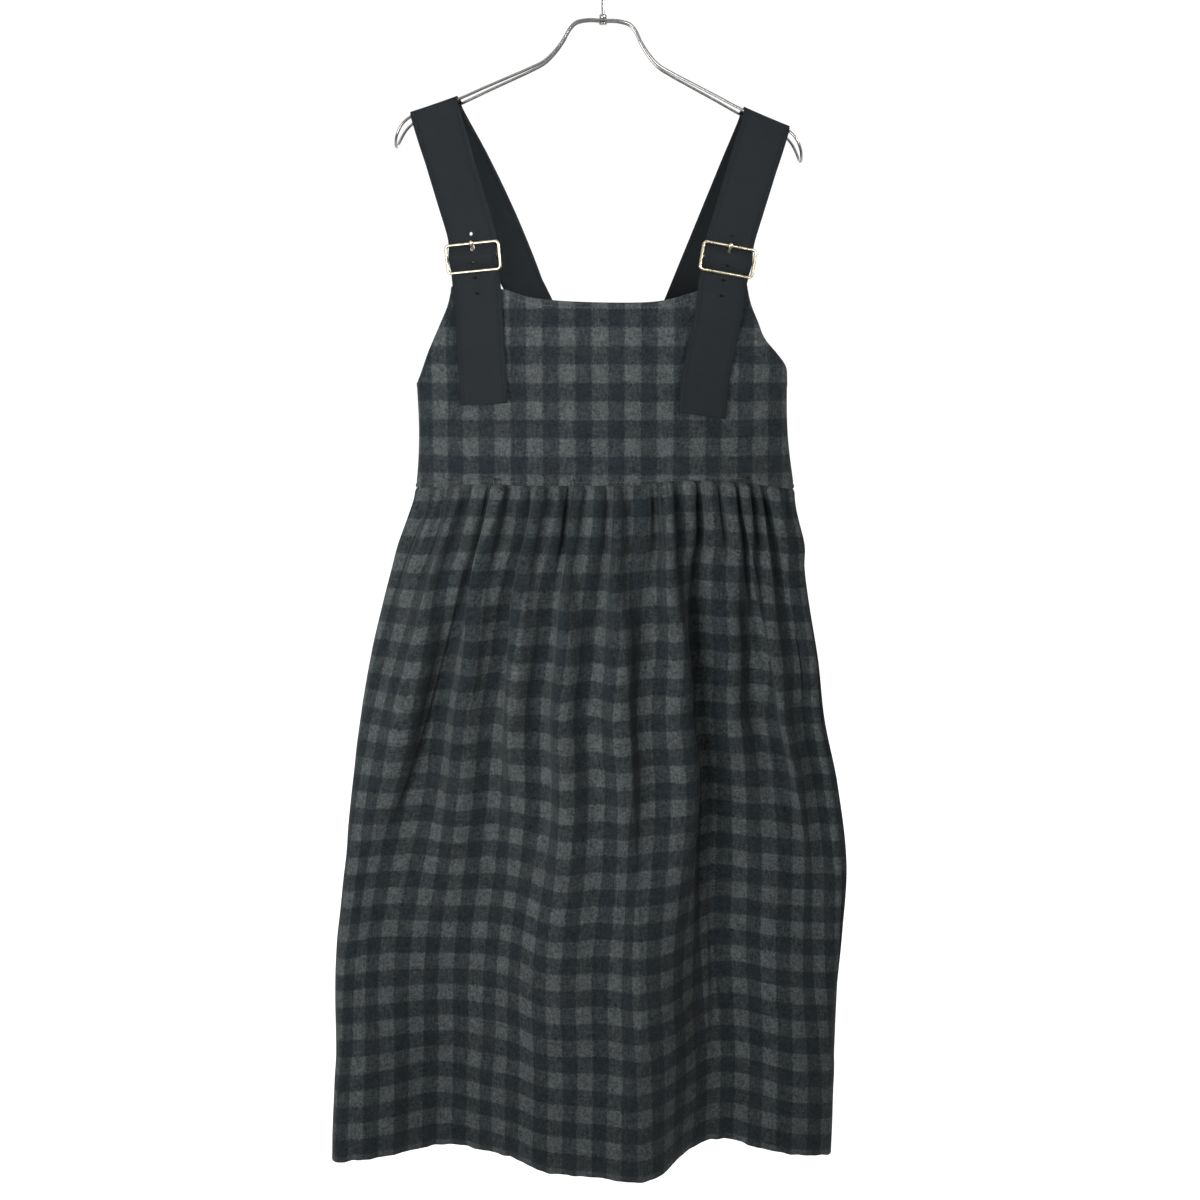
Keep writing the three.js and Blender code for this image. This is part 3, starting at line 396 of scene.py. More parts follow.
class PlanCurve:
    """Plan of the garment at one height, from one side edge to the other."""

    steps = 720

    def __init__(self, z: float, down: float, side: Side, folds: Iterable[Fold] = ()) -> None:
        """Lays out the curve.

        Args:
            z: Height of the plan.
            down: Distance down the skirt, for the folds.
            side: Front or back.
            folds: The folds in it.
        """
        left, right = OUTLINE.at(z, LEFT), OUTLINE.at(z, RIGHT)
        depth = OUTLINE.at(z, FRONT_DEPTH if side is Side.FRONT else BACK_DEPTH)
        square = OUTLINE.at(z, SQUARE)
        across = np.sin(math.pi * (np.arange(self.steps + 1) / self.steps - 0.5))
        edge = np.maximum(0, 1 - np.abs(across) ** square) ** (1 / square)
        x = (left + right) / 2 + (right - left) / 2 * across
        calm = 1 - np.abs(across) ** FORM.edge_calm
        y = -side.value * (depth * edge + calm * fold_at(folds, x, down))
        if side is Side.BACK:
            x, y = x[::-1], y[::-1]
        self.x, self.y = x, y
        steps = np.hypot(np.diff(x), np.diff(y))
        self.lengths = np.concatenate([[0], np.cumsum(steps)])
        self.length = self.lengths[-1]

    def at(self, distance: np.ndarray) -> np.ndarray:
        """Points at distances along the curve, as rows of x and y."""
        place = np.clip(distance, 0, self.length)
        x, y = np.interp(place, self.lengths, self.x), np.interp(place, self.lengths, self.y)
        return np.stack([x, y], -1)

    def heading(self, distance: np.ndarray) -> np.ndarray:
        """Directions of the curve at distances along it."""
        run = self.at(distance + FORM.reach) - self.at(distance - FORM.reach)
        return run / np.maximum(np.linalg.norm(run, axis=-1, keepdims=True), NOTHING)

    def distance_at(self, x: float) -> float:
        """Distance along the curve at which it first reaches a place across the width."""
        if self.x[0] < self.x[-1]:
            return float(np.interp(x, self.x, self.lengths))
        return float(np.interp(-x, -self.x, self.lengths))

    def y_at(self, x: np.ndarray) -> np.ndarray:
        """The curve's y at places across the width."""
        order = np.argsort(self.x)
        return np.interp(x, self.x[order], self.y[order])

    def depth_at(self, x: float) -> float:
        """The curve's y at a place across the width."""
        return float(self.at(np.array(self.distance_at(x)))[1])


class WavedRow:
    """One side of a skirt row: cloth of a given length laid in waves along a plan curve."""

    steps_a_mm = 1.5
    strongest = 1.5
    halvings = 24

    def __init__(self, curve: PlanCurve, cloth: float, down: float) -> None:
        """Finds the waves that make the cloth just cover the curve.

        Args:
            curve: What the cloth follows.
            cloth: Length of cloth in the row.
            down: Distance down the skirt.
        """
        self.curve, self.cloth, self.down = curve, cloth, down
        self.steps = int(round(cloth * self.steps_a_mm))
        place = (np.arange(self.steps) + 0.5) * cloth / self.steps
        calm = smoothstep(np.minimum(place, cloth - place), 0, FORM.wave_end)
        self.turn = calm * wave_turn(place / FORM.panel_width, down)
        low, high = 0.0, self.strongest
        for _ in range(self.halvings):
            middle = (low + high) / 2
            if self.lay(middle)[0][-1] > curve.length:
                low = middle
            else:
                high = middle
        self.along, self.across = self.lay((low + high) / 2)
        self.along = self.along * curve.length / self.along[-1]

    def lay(self, strength: float) -> tuple[np.ndarray, np.ndarray]:
        """Lays the cloth at a wave strength.

        Args:
            strength: How strongly the cloth turns.

        Returns:
            Distances along the curve and across it.
        """
        step = self.cloth / self.steps
        along = np.concatenate([[0], np.cumsum(step * np.cos(strength * self.turn))])
        across = np.concatenate([[0], np.cumsum(step * np.sin(strength * self.turn))])
        return along, across - across[-1] * np.arange(self.steps + 1) / self.steps

    def at(self, cloth: np.ndarray) -> np.ndarray:
        """Plan points at distances along the cloth."""
        place = np.clip(cloth / self.cloth * self.steps, 0, self.steps)
        index = np.arange(self.steps + 1)
        along = np.interp(place, index, self.along)
        share = smoothstep(self.down, 0, FORM.pinch_length)
        pinch = FORM.pinched_at_waist + (1 - FORM.pinched_at_waist) * share
        across = np.interp(place, index, self.across) * pinch
        ahead = self.curve.heading(along)
        outward = np.stack([ahead[:, 1], -ahead[:, 0]], -1)
        return self.curve.at(along) + outward * across[:, None]


def wave_turn(share: np.ndarray, down: float) -> np.ndarray:
    """Direction that the waved cloth takes, from -1 to 1, at shares of the panel's width."""
    total = np.zeros_like(share)
    for wave in WAVES:
        strong = math.exp(-(((down - wave.middle) / wave.spread) ** 2)) * wave.share
        uneven = wave.uneven * np.sin(2 * math.pi * wave.beat * share + wave.start)
        total += strong * np.cos(2 * math.pi * wave.count * share + wave.start + uneven)
    return total


# Shader nodes


class Value:
    """A number that varies over a surface; its operators add Math nodes."""

    def __init__(self, finish: "Finish", socket: bpy.types.NodeSocket) -> None:
        """Wraps an output socket."""
        self.finish, self.socket = finish, socket

    def math(self, operation: str, *others: "Value | float") -> "Value":
        """Adds a Math node on this value.

        Args:
            operation: Name of the node's operation.
            others: Its other inputs.

        Returns:
            The node's result.
        """
        inputs = {i: v for i, v in enumerate((self, *others))}
        return self.finish.node("ShaderNodeMath", {"operation": operation}, inputs)

    def __add__(self, other: "Value | float") -> "Value":
        """Sum."""
        return self.math("ADD", other)

    __radd__ = __add__

    def __mul__(self, other: "Value | float") -> "Value":
        """Product."""
        return self.math("MULTIPLY", other)

    __rmul__ = __mul__

    def __sub__(self, other: "Value | float") -> "Value":
        """Difference."""
        return self.math("SUBTRACT", other)

    def __rsub__(self, other: float) -> "Value":
        """Difference from a number."""
        return self.math("MULTIPLY", -1) + other

    def __truediv__(self, other: "Value | float") -> "Value":
        """Quotient."""
        return self.math("DIVIDE", other)

    def __abs__(self) -> "Value":
        """Size without its sign."""
        return self.math("ABSOLUTE")

    def part(self) -> "Value":
        """What is left over a whole number."""
        return self.math("FRACT")

    def sine(self) -> "Value":
        """Sine."""
        return self.math("SINE")

    def ramp(self, low: float, high: float) -> "Value":
        """Smooth rise from 0 at low to 1 at high."""
        settings = {"interpolation_type": "SMOOTHSTEP"}
        return self.finish.node(
            "ShaderNodeMapRange", settings, {"Value": self, "From Min": low, "From Max": high}
        )


class Finish:
    """A material whose nodes are added one by one."""

    def __init__(self, name: str) -> None:
        """Starts an empty material with one surface shader."""
        self.material = bpy.data.materials.new(name)
        self.material.use_nodes = True
        self.tree = self.material.node_tree
        self.surface = next(n for n in self.tree.nodes if n.type == "BSDF_PRINCIPLED")

    def node(
        self, kind: str, settings: dict | None = None, inputs: dict | None = None, output: int | str = 0
    ) -> Value:
        """Adds a node.

        Args:
            kind: Type name of the node.
            settings: Its properties, set first.
            inputs: Values or links of its sockets, by name or number.
            output: Which result is wanted.

        Returns:
            That result.
        """
        made = self.tree.nodes.new(kind)
        for key, value in (settings or {}).items():
            setattr(made, key, value)
        for key, value in (inputs or {}).items():
            self.feed(made.inputs[key], value)
        return Value(self, made.outputs[output])

    def feed(self, socket: bpy.types.NodeSocket, value: "Value | float | Sequence[float]") -> None:
        """Links a result to a socket, or sets a constant on it."""
        if isinstance(value, Value):
            self.tree.links.new(value.socket, socket)
        else:
            socket.default_value = value

    def mix(
        self, share: "Value | float", low: "Value | Sequence[float]", high: "Value | Sequence[float]"
    ) -> Value:
        """Mixes two colours.

        Args:
            share: How much of the second.
            low: First colour.
            high: Second colour.

        Returns:
            The mixed colour.
        """
        return self.node("ShaderNodeMix", {"data_type": "RGBA"}, {0: share, 6: low, 7: high}, 2)

    def scaled(self, colour: Value, share: Value) -> Value:
        """A colour made lighter or darker by a share."""
        return self.node("ShaderNodeVectorMath", {"operation": "SCALE"}, {0: colour, "Scale": share})

    def noise(self, place: Value, scale: float, detail: float = 2.0, rough: float = 0.5) -> Value:
        """Even cloudy noise from 0 to 1."""
        inputs = {"Vector": place, "Scale": scale, "Detail": detail, "Roughness": rough}
        return self.node("ShaderNodeTexNoise", {}, inputs)

    def stretched(self, place: Value, scale: Sequence[float]) -> Value:
        """A place with its parts scaled, so that noise on it is drawn out."""
        full = (*scale, *([1.0] * (3 - len(scale))))
        return self.node("ShaderNodeMapping", {}, {"Vector": place, "Scale": full})

    def cloth_place(self) -> Value:
        """Place on the cloth, in metres, from the piece's own map."""
        return self.node("ShaderNodeUVMap", {"uv_map": CLOTH_UV})

    def object_place(self) -> Value:
        """Place in the object's frame, in metres."""
        return self.node("ShaderNodeTexCoord", {}, {}, "Object")

    def split(self, place: Value) -> tuple[Value, Value, Value]:
        """The three parts of a place."""
        made = self.node("ShaderNodeSeparateXYZ", {}, {"Vector": place})
        outputs = made.socket.node.outputs
        return tuple(Value(self, outputs[i]) for i in range(3))

    def bump(self, height: Value, distance: float, strength: float = 1.0) -> None:
        """Feeds a height in metres' worth of distance to the surface's normal."""
        made = self.node(
            "ShaderNodeBump", {}, {"Height": height, "Distance": distance, "Strength": strength}
        )
        self.feed(self.surface.inputs["Normal"], made)

    def set(self, **values: "Value | float | Sequence[float]") -> None:
        """Sets sockets of the surface shader; underscores stand for spaces."""
        for key, value in values.items():
            self.feed(self.surface.inputs[key.replace("_", " ")], value)


def shade(red: float, green: float, blue: float) -> tuple[float, float, float, float]:
    """Linear colour of a display colour given from 0 to 255."""
    linear = [
        v / 12.92 if v <= 0.04045 else ((v + 0.055) / 1.055) ** 2.4
        for v in (red / 255, green / 255, blue / 255)
    ]
    return (*linear, 1.0)


@dataclass(frozen=True)
class Flannel:
    """Brushed yarn-dyed cotton in an even two-tone check."""

    column: float = 0.0325
    row: float = 0.0363
    first_column: float = 0.0
    first_row: float = 0.0
    light: tuple = shade(57, 61, 61)
    dark: tuple = shade(21, 27, 30)
    warm: tuple = shade(48, 44, 44)
    fuzz: float = 0.000528
    wander: float = 0.005
    twill: float = 0.0017
    yarn: float = 0.0012
    one_band: float = 0.29
    both_bands: float = 0.42
    fleck: float = 2.1
    grain: float = 1.5
    cloud: float = 0.8
    slub: float = 0.8
    blotch: float = 1.1
    warmth: float = 0.2

    def build(self, name: str) -> bpy.types.Material:
        """Makes the material.

        Args:
            name: Its name.

        Returns:
            The material.
        """
        f = Finish(name)
        place = f.cloth_place()
        across, down, _ = f.split(place)
        wander = f.noise(place, 420, 2) - 0.5
        columns = self.band(across + wander * self.wander, self.column, self.first_column)
        rows = self.band(down - wander * self.wander, self.row, self.first_row)
        twill = ((across + down) * (2 * math.pi / self.twill)).sine()
        grain = f.noise(place, 900, 2, 0.6)
        fleck = f.noise(place, 330, 2, 0.7)
        cloud = f.noise(place, 40, 3, 0.6)
        blotch = f.noise(place, 130, 2, 0.6)
        slub = f.noise(f.stretched(place, (1.0, 0.16)), 520, 2, 0.6)
        float_ = f.noise(f.stretched(place, (0.16, 1.0)), 520, 2, 0.6)
        tone = (columns + rows) * self.one_band + columns * rows * self.both_bands
        mixed = (columns - rows) * (columns - rows)
        tone = tone + mixed * ((slub - float_) * 0.5 + twill * 0.05)
        colour = f.mix(tone, self.dark, self.light)
        warmth = f.noise(place, 24, 2)
        colour = f.mix(warmth.ramp(0.45, 0.75) * self.warmth, colour, self.warm)
        uneven = (fleck - 0.5) * self.fleck + (grain - 0.5) * self.grain
        uneven = uneven + (cloud - 0.5) * self.cloud + (slub - 0.5) * self.slub
        uneven = uneven + (blotch - 0.5) * self.blotch
        colour = f.scaled(colour, uneven + 1.0)
        f.set(Base_Color=colour, Roughness=0.95, Specular_IOR_Level=0.1)
        f.set(Sheen_Weight=0.05, Sheen_Roughness=0.6, Sheen_Tint=(0.75, 0.78, 0.78, 1))
        fur = grain * 0.6 + f.noise(place, 2400, 1) * 0.4 + twill * 0.12
        f.bump(fur, self.fuzz, 0.8)
        return f.material

    def band(self, place: Value, pitch: float, first: float) -> Value:
        """1 on the light bands and 0 on the dark ones, with edges a yarn wide."""
        away = abs(((place - first) / pitch + 0.5).part() - 0.5)
        edge = self.yarn / pitch
        return 1 - away.ramp(0.25 - edge, 0.25 + edge)


@dataclass(frozen=True)
class Canvas:
    """Close-woven cotton webbing with a selvedge line along each edge."""

    width: float = 0.048
    ground: tuple = shade(28, 31, 33)
    deep: tuple = shade(19, 22, 24)
    rib: float = 0.0013
    yarn: float = 0.0011
    selvedge: float = 0.0042
    selvedge_line: tuple[float, float] = (0.0003, 0.0011)
    relief: float = 0.00022

    def build(self, name: str) -> bpy.types.Material:
        """Makes the material."""
        f = Finish(name)
        place = f.cloth_place()
        across, along, _ = f.split(place)
        warp = (across * (2 * math.pi / self.yarn)).sine()
        weft = (along * (2 * math.pi / self.rib)).sine()
        weave = warp * weft
        grain = f.noise(place, 1500, 2, 0.6)
        cloud = f.noise(place, 60, 3, 0.6)
        tone = 0.5 + weave * 0.16 + (grain - 0.5) * 0.5 + (cloud - 0.5) * 0.5
        edge = abs(abs(across) - (self.width / 2 - self.selvedge))
        line = 1 - edge.ramp(*self.selvedge_line)
        tone = tone - line * 0.35
        colour = f.mix(tone.ramp(-0.1, 1.1), self.deep, self.ground)
        f.set(Base_Color=colour, Roughness=0.88, Specular_IOR_Level=0.12)
        f.bump(weave * 0.5 + grain * 0.4 - line * 0.9, self.relief, 0.7)
        return f.material


@dataclass(frozen=True)
class Metal:
    """Plated wire with faint handling marks."""

    tint: tuple
    rough: float
    mottle: float
    deeper: float = 0.8
    relief: float = 0.00003

    def build(self, name: str) -> bpy.types.Material:
        """Makes the material."""
        f = Finish(name)
        place = f.object_place()
        cloud = f.noise(place, 220, 3)
        scratch = f.noise(f.stretched(place, (1, 1, 0.15)), 1800, 2)
        rough = cloud * self.mottle + scratch * self.mottle * 0.6 + (self.rough - self.mottle * 0.8)
        darker = tuple(v * self.deeper for v in self.tint[:3]) + (1.0,)
        f.set(Base_Color=f.mix(cloud.ramp(0.35, 0.7), darker, self.tint), Roughness=rough)
        f.set(Metallic=1.0)
        f.bump(scratch, self.relief, 0.4)
        return f.material


@dataclass(frozen=True)
class Thread:
    """Sewing thread."""

    tint: tuple = shade(70, 73, 75)
    deeper: float = 0.6
    relief: float = 0.0001

    def build(self, name: str) -> bpy.types.Material:
        """Makes the material."""
        f = Finish(name)
        grain = f.noise(f.object_place(), 2600, 2)
        darker = tuple(v * self.deeper for v in self.tint[:3]) + (1.0,)
        f.set(Base_Color=f.mix(grain, darker, self.tint), Roughness=0.7)
        f.bump(grain, self.relief, 0.5)
        return f.material


# Meshes


def publish(name: str, mesh: bpy.types.Mesh, finish: bpy.types.Material) -> bpy.types.Object:
    """Makes a smooth object of a mesh, with its finish.

    Args:
        name: The piece's name.
        mesh: Its mesh, in metres.
        finish: Its material.

    Returns:
        The object, linked to the scene.
    """
    mesh.polygons.foreach_set("use_smooth", np.ones(len(mesh.polygons), bool))
    piece = bpy.data.objects.new(name, mesh)
    piece.data.materials.append(finish)
    bpy.context.scene.collection.objects.link(piece)
    return piece


def cloth_grid(
    name: str, columns: int, rows: int, place: Callable[[int, int], tuple[np.ndarray, np.ndarray]]
) -> bpy.types.Mesh:
    """A grid whose points are moved to their places on a cloth.

    Args:
        name: The mesh's name.
        columns: Faces across.
        rows: Faces down.
        place: Gives the points (rows + 1, columns + 1, 3) in millimetres and the cloth's own
            places (rows + 1, columns + 1, 2) in millimetres.

    Returns:
        The mesh, in metres, with the cloth's places as its map.
    """
    bm = bmesh.new()
    bmesh.ops.create_grid(bm, x_segments=columns, y_segments=rows, size=1.0)
    mesh = bpy.data.meshes.new(name)
    bm.to_mesh(mesh)
    bm.free()
    flat = np.zeros(len(mesh.vertices) * 3, np.float32)
    mesh.vertices.foreach_get("co", flat)
    flat = flat.reshape(-1, 3)
    column = np.rint((flat[:, 0] + 1) / 2 * columns).astype(int)
    row = np.rint((1 - flat[:, 1]) / 2 * rows).astype(int)
    points, cloth = place(columns, rows)
    mesh.vertices.foreach_set("co", (points[row, column] * MM).astype(np.float32).ravel())
    corners = np.zeros(len(mesh.loops), np.int32)
    mesh.loops.foreach_get("vertex_index", corners)
    uv = mesh.uv_layers.new(name=CLOTH_UV)
    uv.data.foreach_set("uv", (cloth[row, column][corners] * MM).astype(np.float32).ravel())
    mesh.update()
    return mesh


def thicken(piece: bpy.types.Object, thickness: float, rounded: float = 0.0) -> None:
    """Gives a sheet its thickness, in millimetres, evenly on both sides."""
    solid = piece.modifiers.new("Thickness", "SOLIDIFY")
    solid.thickness = thickness * MM
    solid.offset = 0
    if rounded:
        bevel = piece.modifiers.new("Edges", "BEVEL")
        bevel.width = rounded * MM
        bevel.segments = 2
        bevel.limit_method = "ANGLE"
        bevel.angle_limit = math.radians(60)


def settle(piece: bpy.types.Object) -> None:
    """Replaces a piece's mesh by what its modifiers make of it."""
    graph = bpy.context.evaluated_depsgraph_get()
    made = bpy.data.meshes.new_from_object(piece.evaluated_get(graph))
    piece.modifiers.clear()
    piece.data = made


def register(piece: bpy.types.Object, slot: str, *nodes: str) -> bpy.types.Object:
    """Rides a piece on the part's body and says what it stands for.

    Args:
        piece: The finished piece.
        slot: Not used.
        nodes: The solids that it replaces.

    Returns:
        The same piece.
    """
    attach(piece, BODY)
    if nodes:
        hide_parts(*nodes)
    log.info("%s: %d faces, stands for %s", piece.name, len(piece.data.polygons), nodes or "itself")
    return piece


def unit(vectors: np.ndarray) -> np.ndarray:
    """Vectors of length 1."""
    return vectors / np.maximum(np.linalg.norm(vectors, axis=-1, keepdims=True), NOTHING)


class Stitches:
    """Runs of sewing stitches on the pieces, gathered into one mesh."""

    round_sides = 6
    long_sides = 4
    raised = 0.2

    def __init__(self, name: str, length: float = 2.6, gap: float = 1.0, thick: float = 0.42) -> None:
        """Starts with no stitches.

        Args:
            name: The piece's name.
            length: Length of a stitch.
            gap: Distance between stitches.
            thick: Thickness of the thread.
        """
        self.name, self.length, self.gap, self.thick = name, length, gap, thick
        self.bm = bmesh.new()

    def run(self, points: np.ndarray, outward: np.ndarray) -> "Stitches":
        """Sews along a line on a surface.

        Args:
            points: Points of the line, in millimetres.
            outward: Direction away from the surface at each.

        Returns:
            Itself.
        """
        steps = np.linalg.norm(np.diff(points, axis=0), axis=1)
        lengths = np.concatenate([[0], np.cumsum(steps)])
        count = int(lengths[-1] / (self.length + self.gap))
        pitch = lengths[-1] / max(count, 1)

        def read(values: np.ndarray, where: float) -> np.ndarray:
            return np.array([np.interp(where, lengths, values[:, i]) for i in range(3)])

        for i in range(count):
            middle = (i + 0.5) * pitch
            head = unit(read(points, middle + 1) - read(points, middle - 1))
            up = unit(read(outward, middle))
            side = unit(np.cross(up, head))
            up = np.cross(head, side)
            turn = Matrix([head, side, up]).transposed().to_4x4()
            size = Matrix.Diagonal((self.length * MM / 2, self.thick * MM / 2, self.thick * MM / 2, 1))
            spot = Matrix.Translation(Vector(read(points, middle) + up * self.thick * self.raised) * MM)
            bmesh.ops.create_uvsphere(
                self.bm, u_segments=self.round_sides, v_segments=self.long_sides, radius=1,
                matrix=spot @ turn @ size,
            )
        return self

    def finish(self, finish: bpy.types.Material, slot: str = "flannel") -> bpy.types.Object:
        """Makes the piece."""
        mesh = bpy.data.meshes.new(self.name)
        self.bm.to_mesh(mesh)
        self.bm.free()
        return register(publish(self.name, mesh, finish), slot)


# The dress


@dataclass
class Skirt:
    """Two gathered panels, seamed at the sides, from the waist seam to the turned hem."""

    columns: int = 500
    rows: int = 90
    crowding: float = 1.3
    thickness: float = 1.2
    turned_hem: float = 24
    tucked: float = 7
    seam_calm: float = 26
    crease_depth: float = 1.5
    dent_depth: float = 0.42
    pucker_depth: float = 3.4
    pucker_length: float = 22
    hem_unevenness: float = 1.1
    hem_uneven_from: float = 640
    first_level: float = 7.2
    creases: SoftNoise = field(default_factory=lambda: SoftNoise(5, (46, 120)))
    dents: SoftNoise = field(default_factory=lambda: SoftNoise(17, (17, 30)))
    puckers: SoftNoise = field(default_factory=lambda: SoftNoise(29, (4.8, 26)))
    frayed: SoftNoise = field(default_factory=lambda: SoftNoise(31, (9, 400)))

    def __post_init__(self) -> None:
        """Starts with no rows laid."""
        self.laid: dict[float, tuple] = {}

    def row(self, down: float) -> tuple:
        """Both sides of a row, laid once."""
        if down not in self.laid:
            z = FORM.waist_z + (FORM.hem_z - FORM.waist_z) * down / HEM_DOWN
            left, right = float(SIDE_SEAMS.at(down, 0)), float(SIDE_SEAMS.at(down, 1))
            front = FORM.panel_width + left + right
            sides = [
                WavedRow(PlanCurve(z, down, side, FOLDS[side]), cloth, down)
                for side, cloth in ((Side.FRONT, front), (Side.BACK, FORM.round_width - front))
            ]
            self.laid[down] = (left, front, *sides)
        return self.laid[down]

    def plan(
        self, around: np.ndarray, down: float, stand: float = 1.0
    ) -> tuple[np.ndarray, np.ndarray]:
        """Plan points of a row.

        Args:
            around: Cloth distances round from the left seam.
            down: Distance down the skirt.
            stand: How far the cloth stands off the bodice's line, as a share.

        Returns:
            The points, and which of them lie on the front.
        """
        left, front, front_row, back_row = self.row(down)
        place = (around + left) % FORM.round_width
        ahead = place <= front
        points = np.where(ahead[:, None], front_row.at(place), back_row.at(place - front))
        if stand != 1:
            for side, here in ((Side.FRONT, ahead), (Side.BACK, ~ahead)):
                bare = PlanCurve(FORM.waist_z, 0, side).y_at(points[here, 0])
                points[here, 1] = bare + (points[here, 1] - bare) * stand
        return points, ahead

    def surface(
        self, around: np.ndarray, down: float, stand: float = 1.0
    ) -> tuple[np.ndarray, np.ndarray]:
        """Points of the cloth's middle surface in one row.

        Args:
            around: Cloth distances round from the left seam.
            down: Distance down the skirt.
            stand: How far the cloth stands off the bodice's line, as a share.

        Returns:
            The points and their outward directions.
        """
        plan, ahead = self.plan(around, down, stand)
        edges = [
            np.where(ahead, EDGES[Side.FRONT].at(plan[:, 0], c), EDGES[Side.BACK].at(plan[:, 0], c))
            for c in (WAIST, HEM)
        ]
        z = edges[0] - FORM.gap / 2 + (edges[1] - edges[0]) * down / HEM_DOWN
        ahead_, behind = (self.plan(around + s * FORM.reach, down, stand)[0] for s in (1, -1))
        run = unit(ahead_ - behind)
        outward = np.stack([run[:, 1], -run[:, 0], np.zeros(len(run))], -1)
        return np.concatenate([plan, z[:, None]], 1), outward

    def relief(
        self, around: np.ndarray, down: float, sideways: np.ndarray, x: np.ndarray, side: Side
    ) -> np.ndarray:
        """Small creases and dents of worn cloth, nought at the side seams' very edge."""
        seam = FORM.panel_width * np.minimum(sideways, 1 - sideways)
        free = smoothstep(seam, 0, self.seam_calm)
        low = smoothstep(down, 20, 160)
        lean = around + 0.16 * down * np.sin(around / 97)
        places = np.full_like(around, down)
        soft = self.creases.at(lean, places) * self.crease_depth * low
        soft = soft + self.dents.at(lean, places) * self.dent_depth * low
        crisp = 0.5 - np.abs(self.puckers.at(around, places))
        near = math.exp(-((down / self.pucker_length) ** 2)) * smoothstep(down, 0, 4)
        puckered = crisp * self.pucker_depth * near
        if side is Side.FRONT:
            puckered = puckered + sum(crease.at(x, down) for crease in CREASES)
        seam_dip = -1.5 * np.exp(-((seam / 2.6) ** 2)) + 0.7 * np.exp(-(((seam - 6) / 3.2) ** 2))
        return free * (soft + puckered) + seam_dip * smoothstep(down, 6, 30)

    def levels(self) -> list[tuple[float, float, float, float]]:
        """Distance down, inset, drop and share of the stand-off of each row of points."""
        main = self.rows - 16
        rows = [(0.0, 2.3, -self.tucked, 0.0), (0.0, 2.3, -self.tucked * 0.4, 0.0)]
        rows += [(0.0, 1.9, 0.0, 0.1), (0.5, 1.0, 0.0, 0.4), (1.4, 0.1, 0.0, 0.7)]
        rows += [(2.8, -0.5, 0.0, 0.95), (4.8, -0.7, 0.0, 1.1)]
        first, run = self.first_level, HEM_DOWN - self.first_level
        rows += [
            (first + run * (i / main) ** self.crowding, -0.5 * math.exp(-i / 2), 0.0, 1.0)
            for i in range(main)
        ]
        rows += [(HEM_DOWN - 0.35, 0.0, 0.0, 1.0), (HEM_DOWN, 0.5, -0.2, 1.0)]
        rows += [(HEM_DOWN, 1.3, -0.2, 1.0), (HEM_DOWN - 0.5, 1.8, 0.0, 1.0)]
        shares = (0.1, 0.3, 0.5, 0.7, 0.9, 1.0)
        return rows + [(HEM_DOWN - self.turned_hem * s, 1.85, 0.0, 1.0) for s in shares]

    def panel(self, side: Side, finish: bpy.types.Material) -> bpy.types.Object:
        """Makes one panel.

        Args:
            side: Front or back.
            finish: Its cloth.

        Returns:
            The registered piece.
        """
        start = 0.0 if side is Side.FRONT else FORM.panel_width
        levels = self.levels()
        hem_turn = HEM_DOWN - self.turned_hem
        turned = len(levels) - 9

        def place(columns: int, rows: int) -> tuple[np.ndarray, np.ndarray]:
            sideways = np.arange(columns + 1) / columns
            around = start + FORM.panel_width * sideways
            points, cloth = [], []
            travelled = -self.tucked
            for number, (down, inset, lift, stand) in enumerate(levels):
                row, outward = self.surface(around, down, stand)
                relief = self.relief(around, down, sideways, row[:, 0], side)
                row = row + outward * (relief - inset)[:, None]
                frayed = self.frayed.at(around, np.zeros_like(around)) * self.hem_unevenness
                row[:, 2] -= lift + frayed * smoothstep(down, self.hem_uneven_from, HEM_DOWN)
                if number:
                    step = np.linalg.norm(row - points[-1], axis=1).mean() if down >= hem_turn else 0
                    travelled = down + lift if number < turned else travelled + step
                points.append(row)
                cloth.append(np.stack([around - start, np.full_like(around, travelled)], -1))
            return np.array(points), np.array(cloth)

        name = f"skirt_{side.name.lower()}"
        mesh = cloth_grid(name + "_cloth", self.columns, len(levels) - 1, place)
        piece = publish(name + "_cloth", mesh, finish)
        thicken(piece, self.thickness)
        return register(piece, "flannel", name)


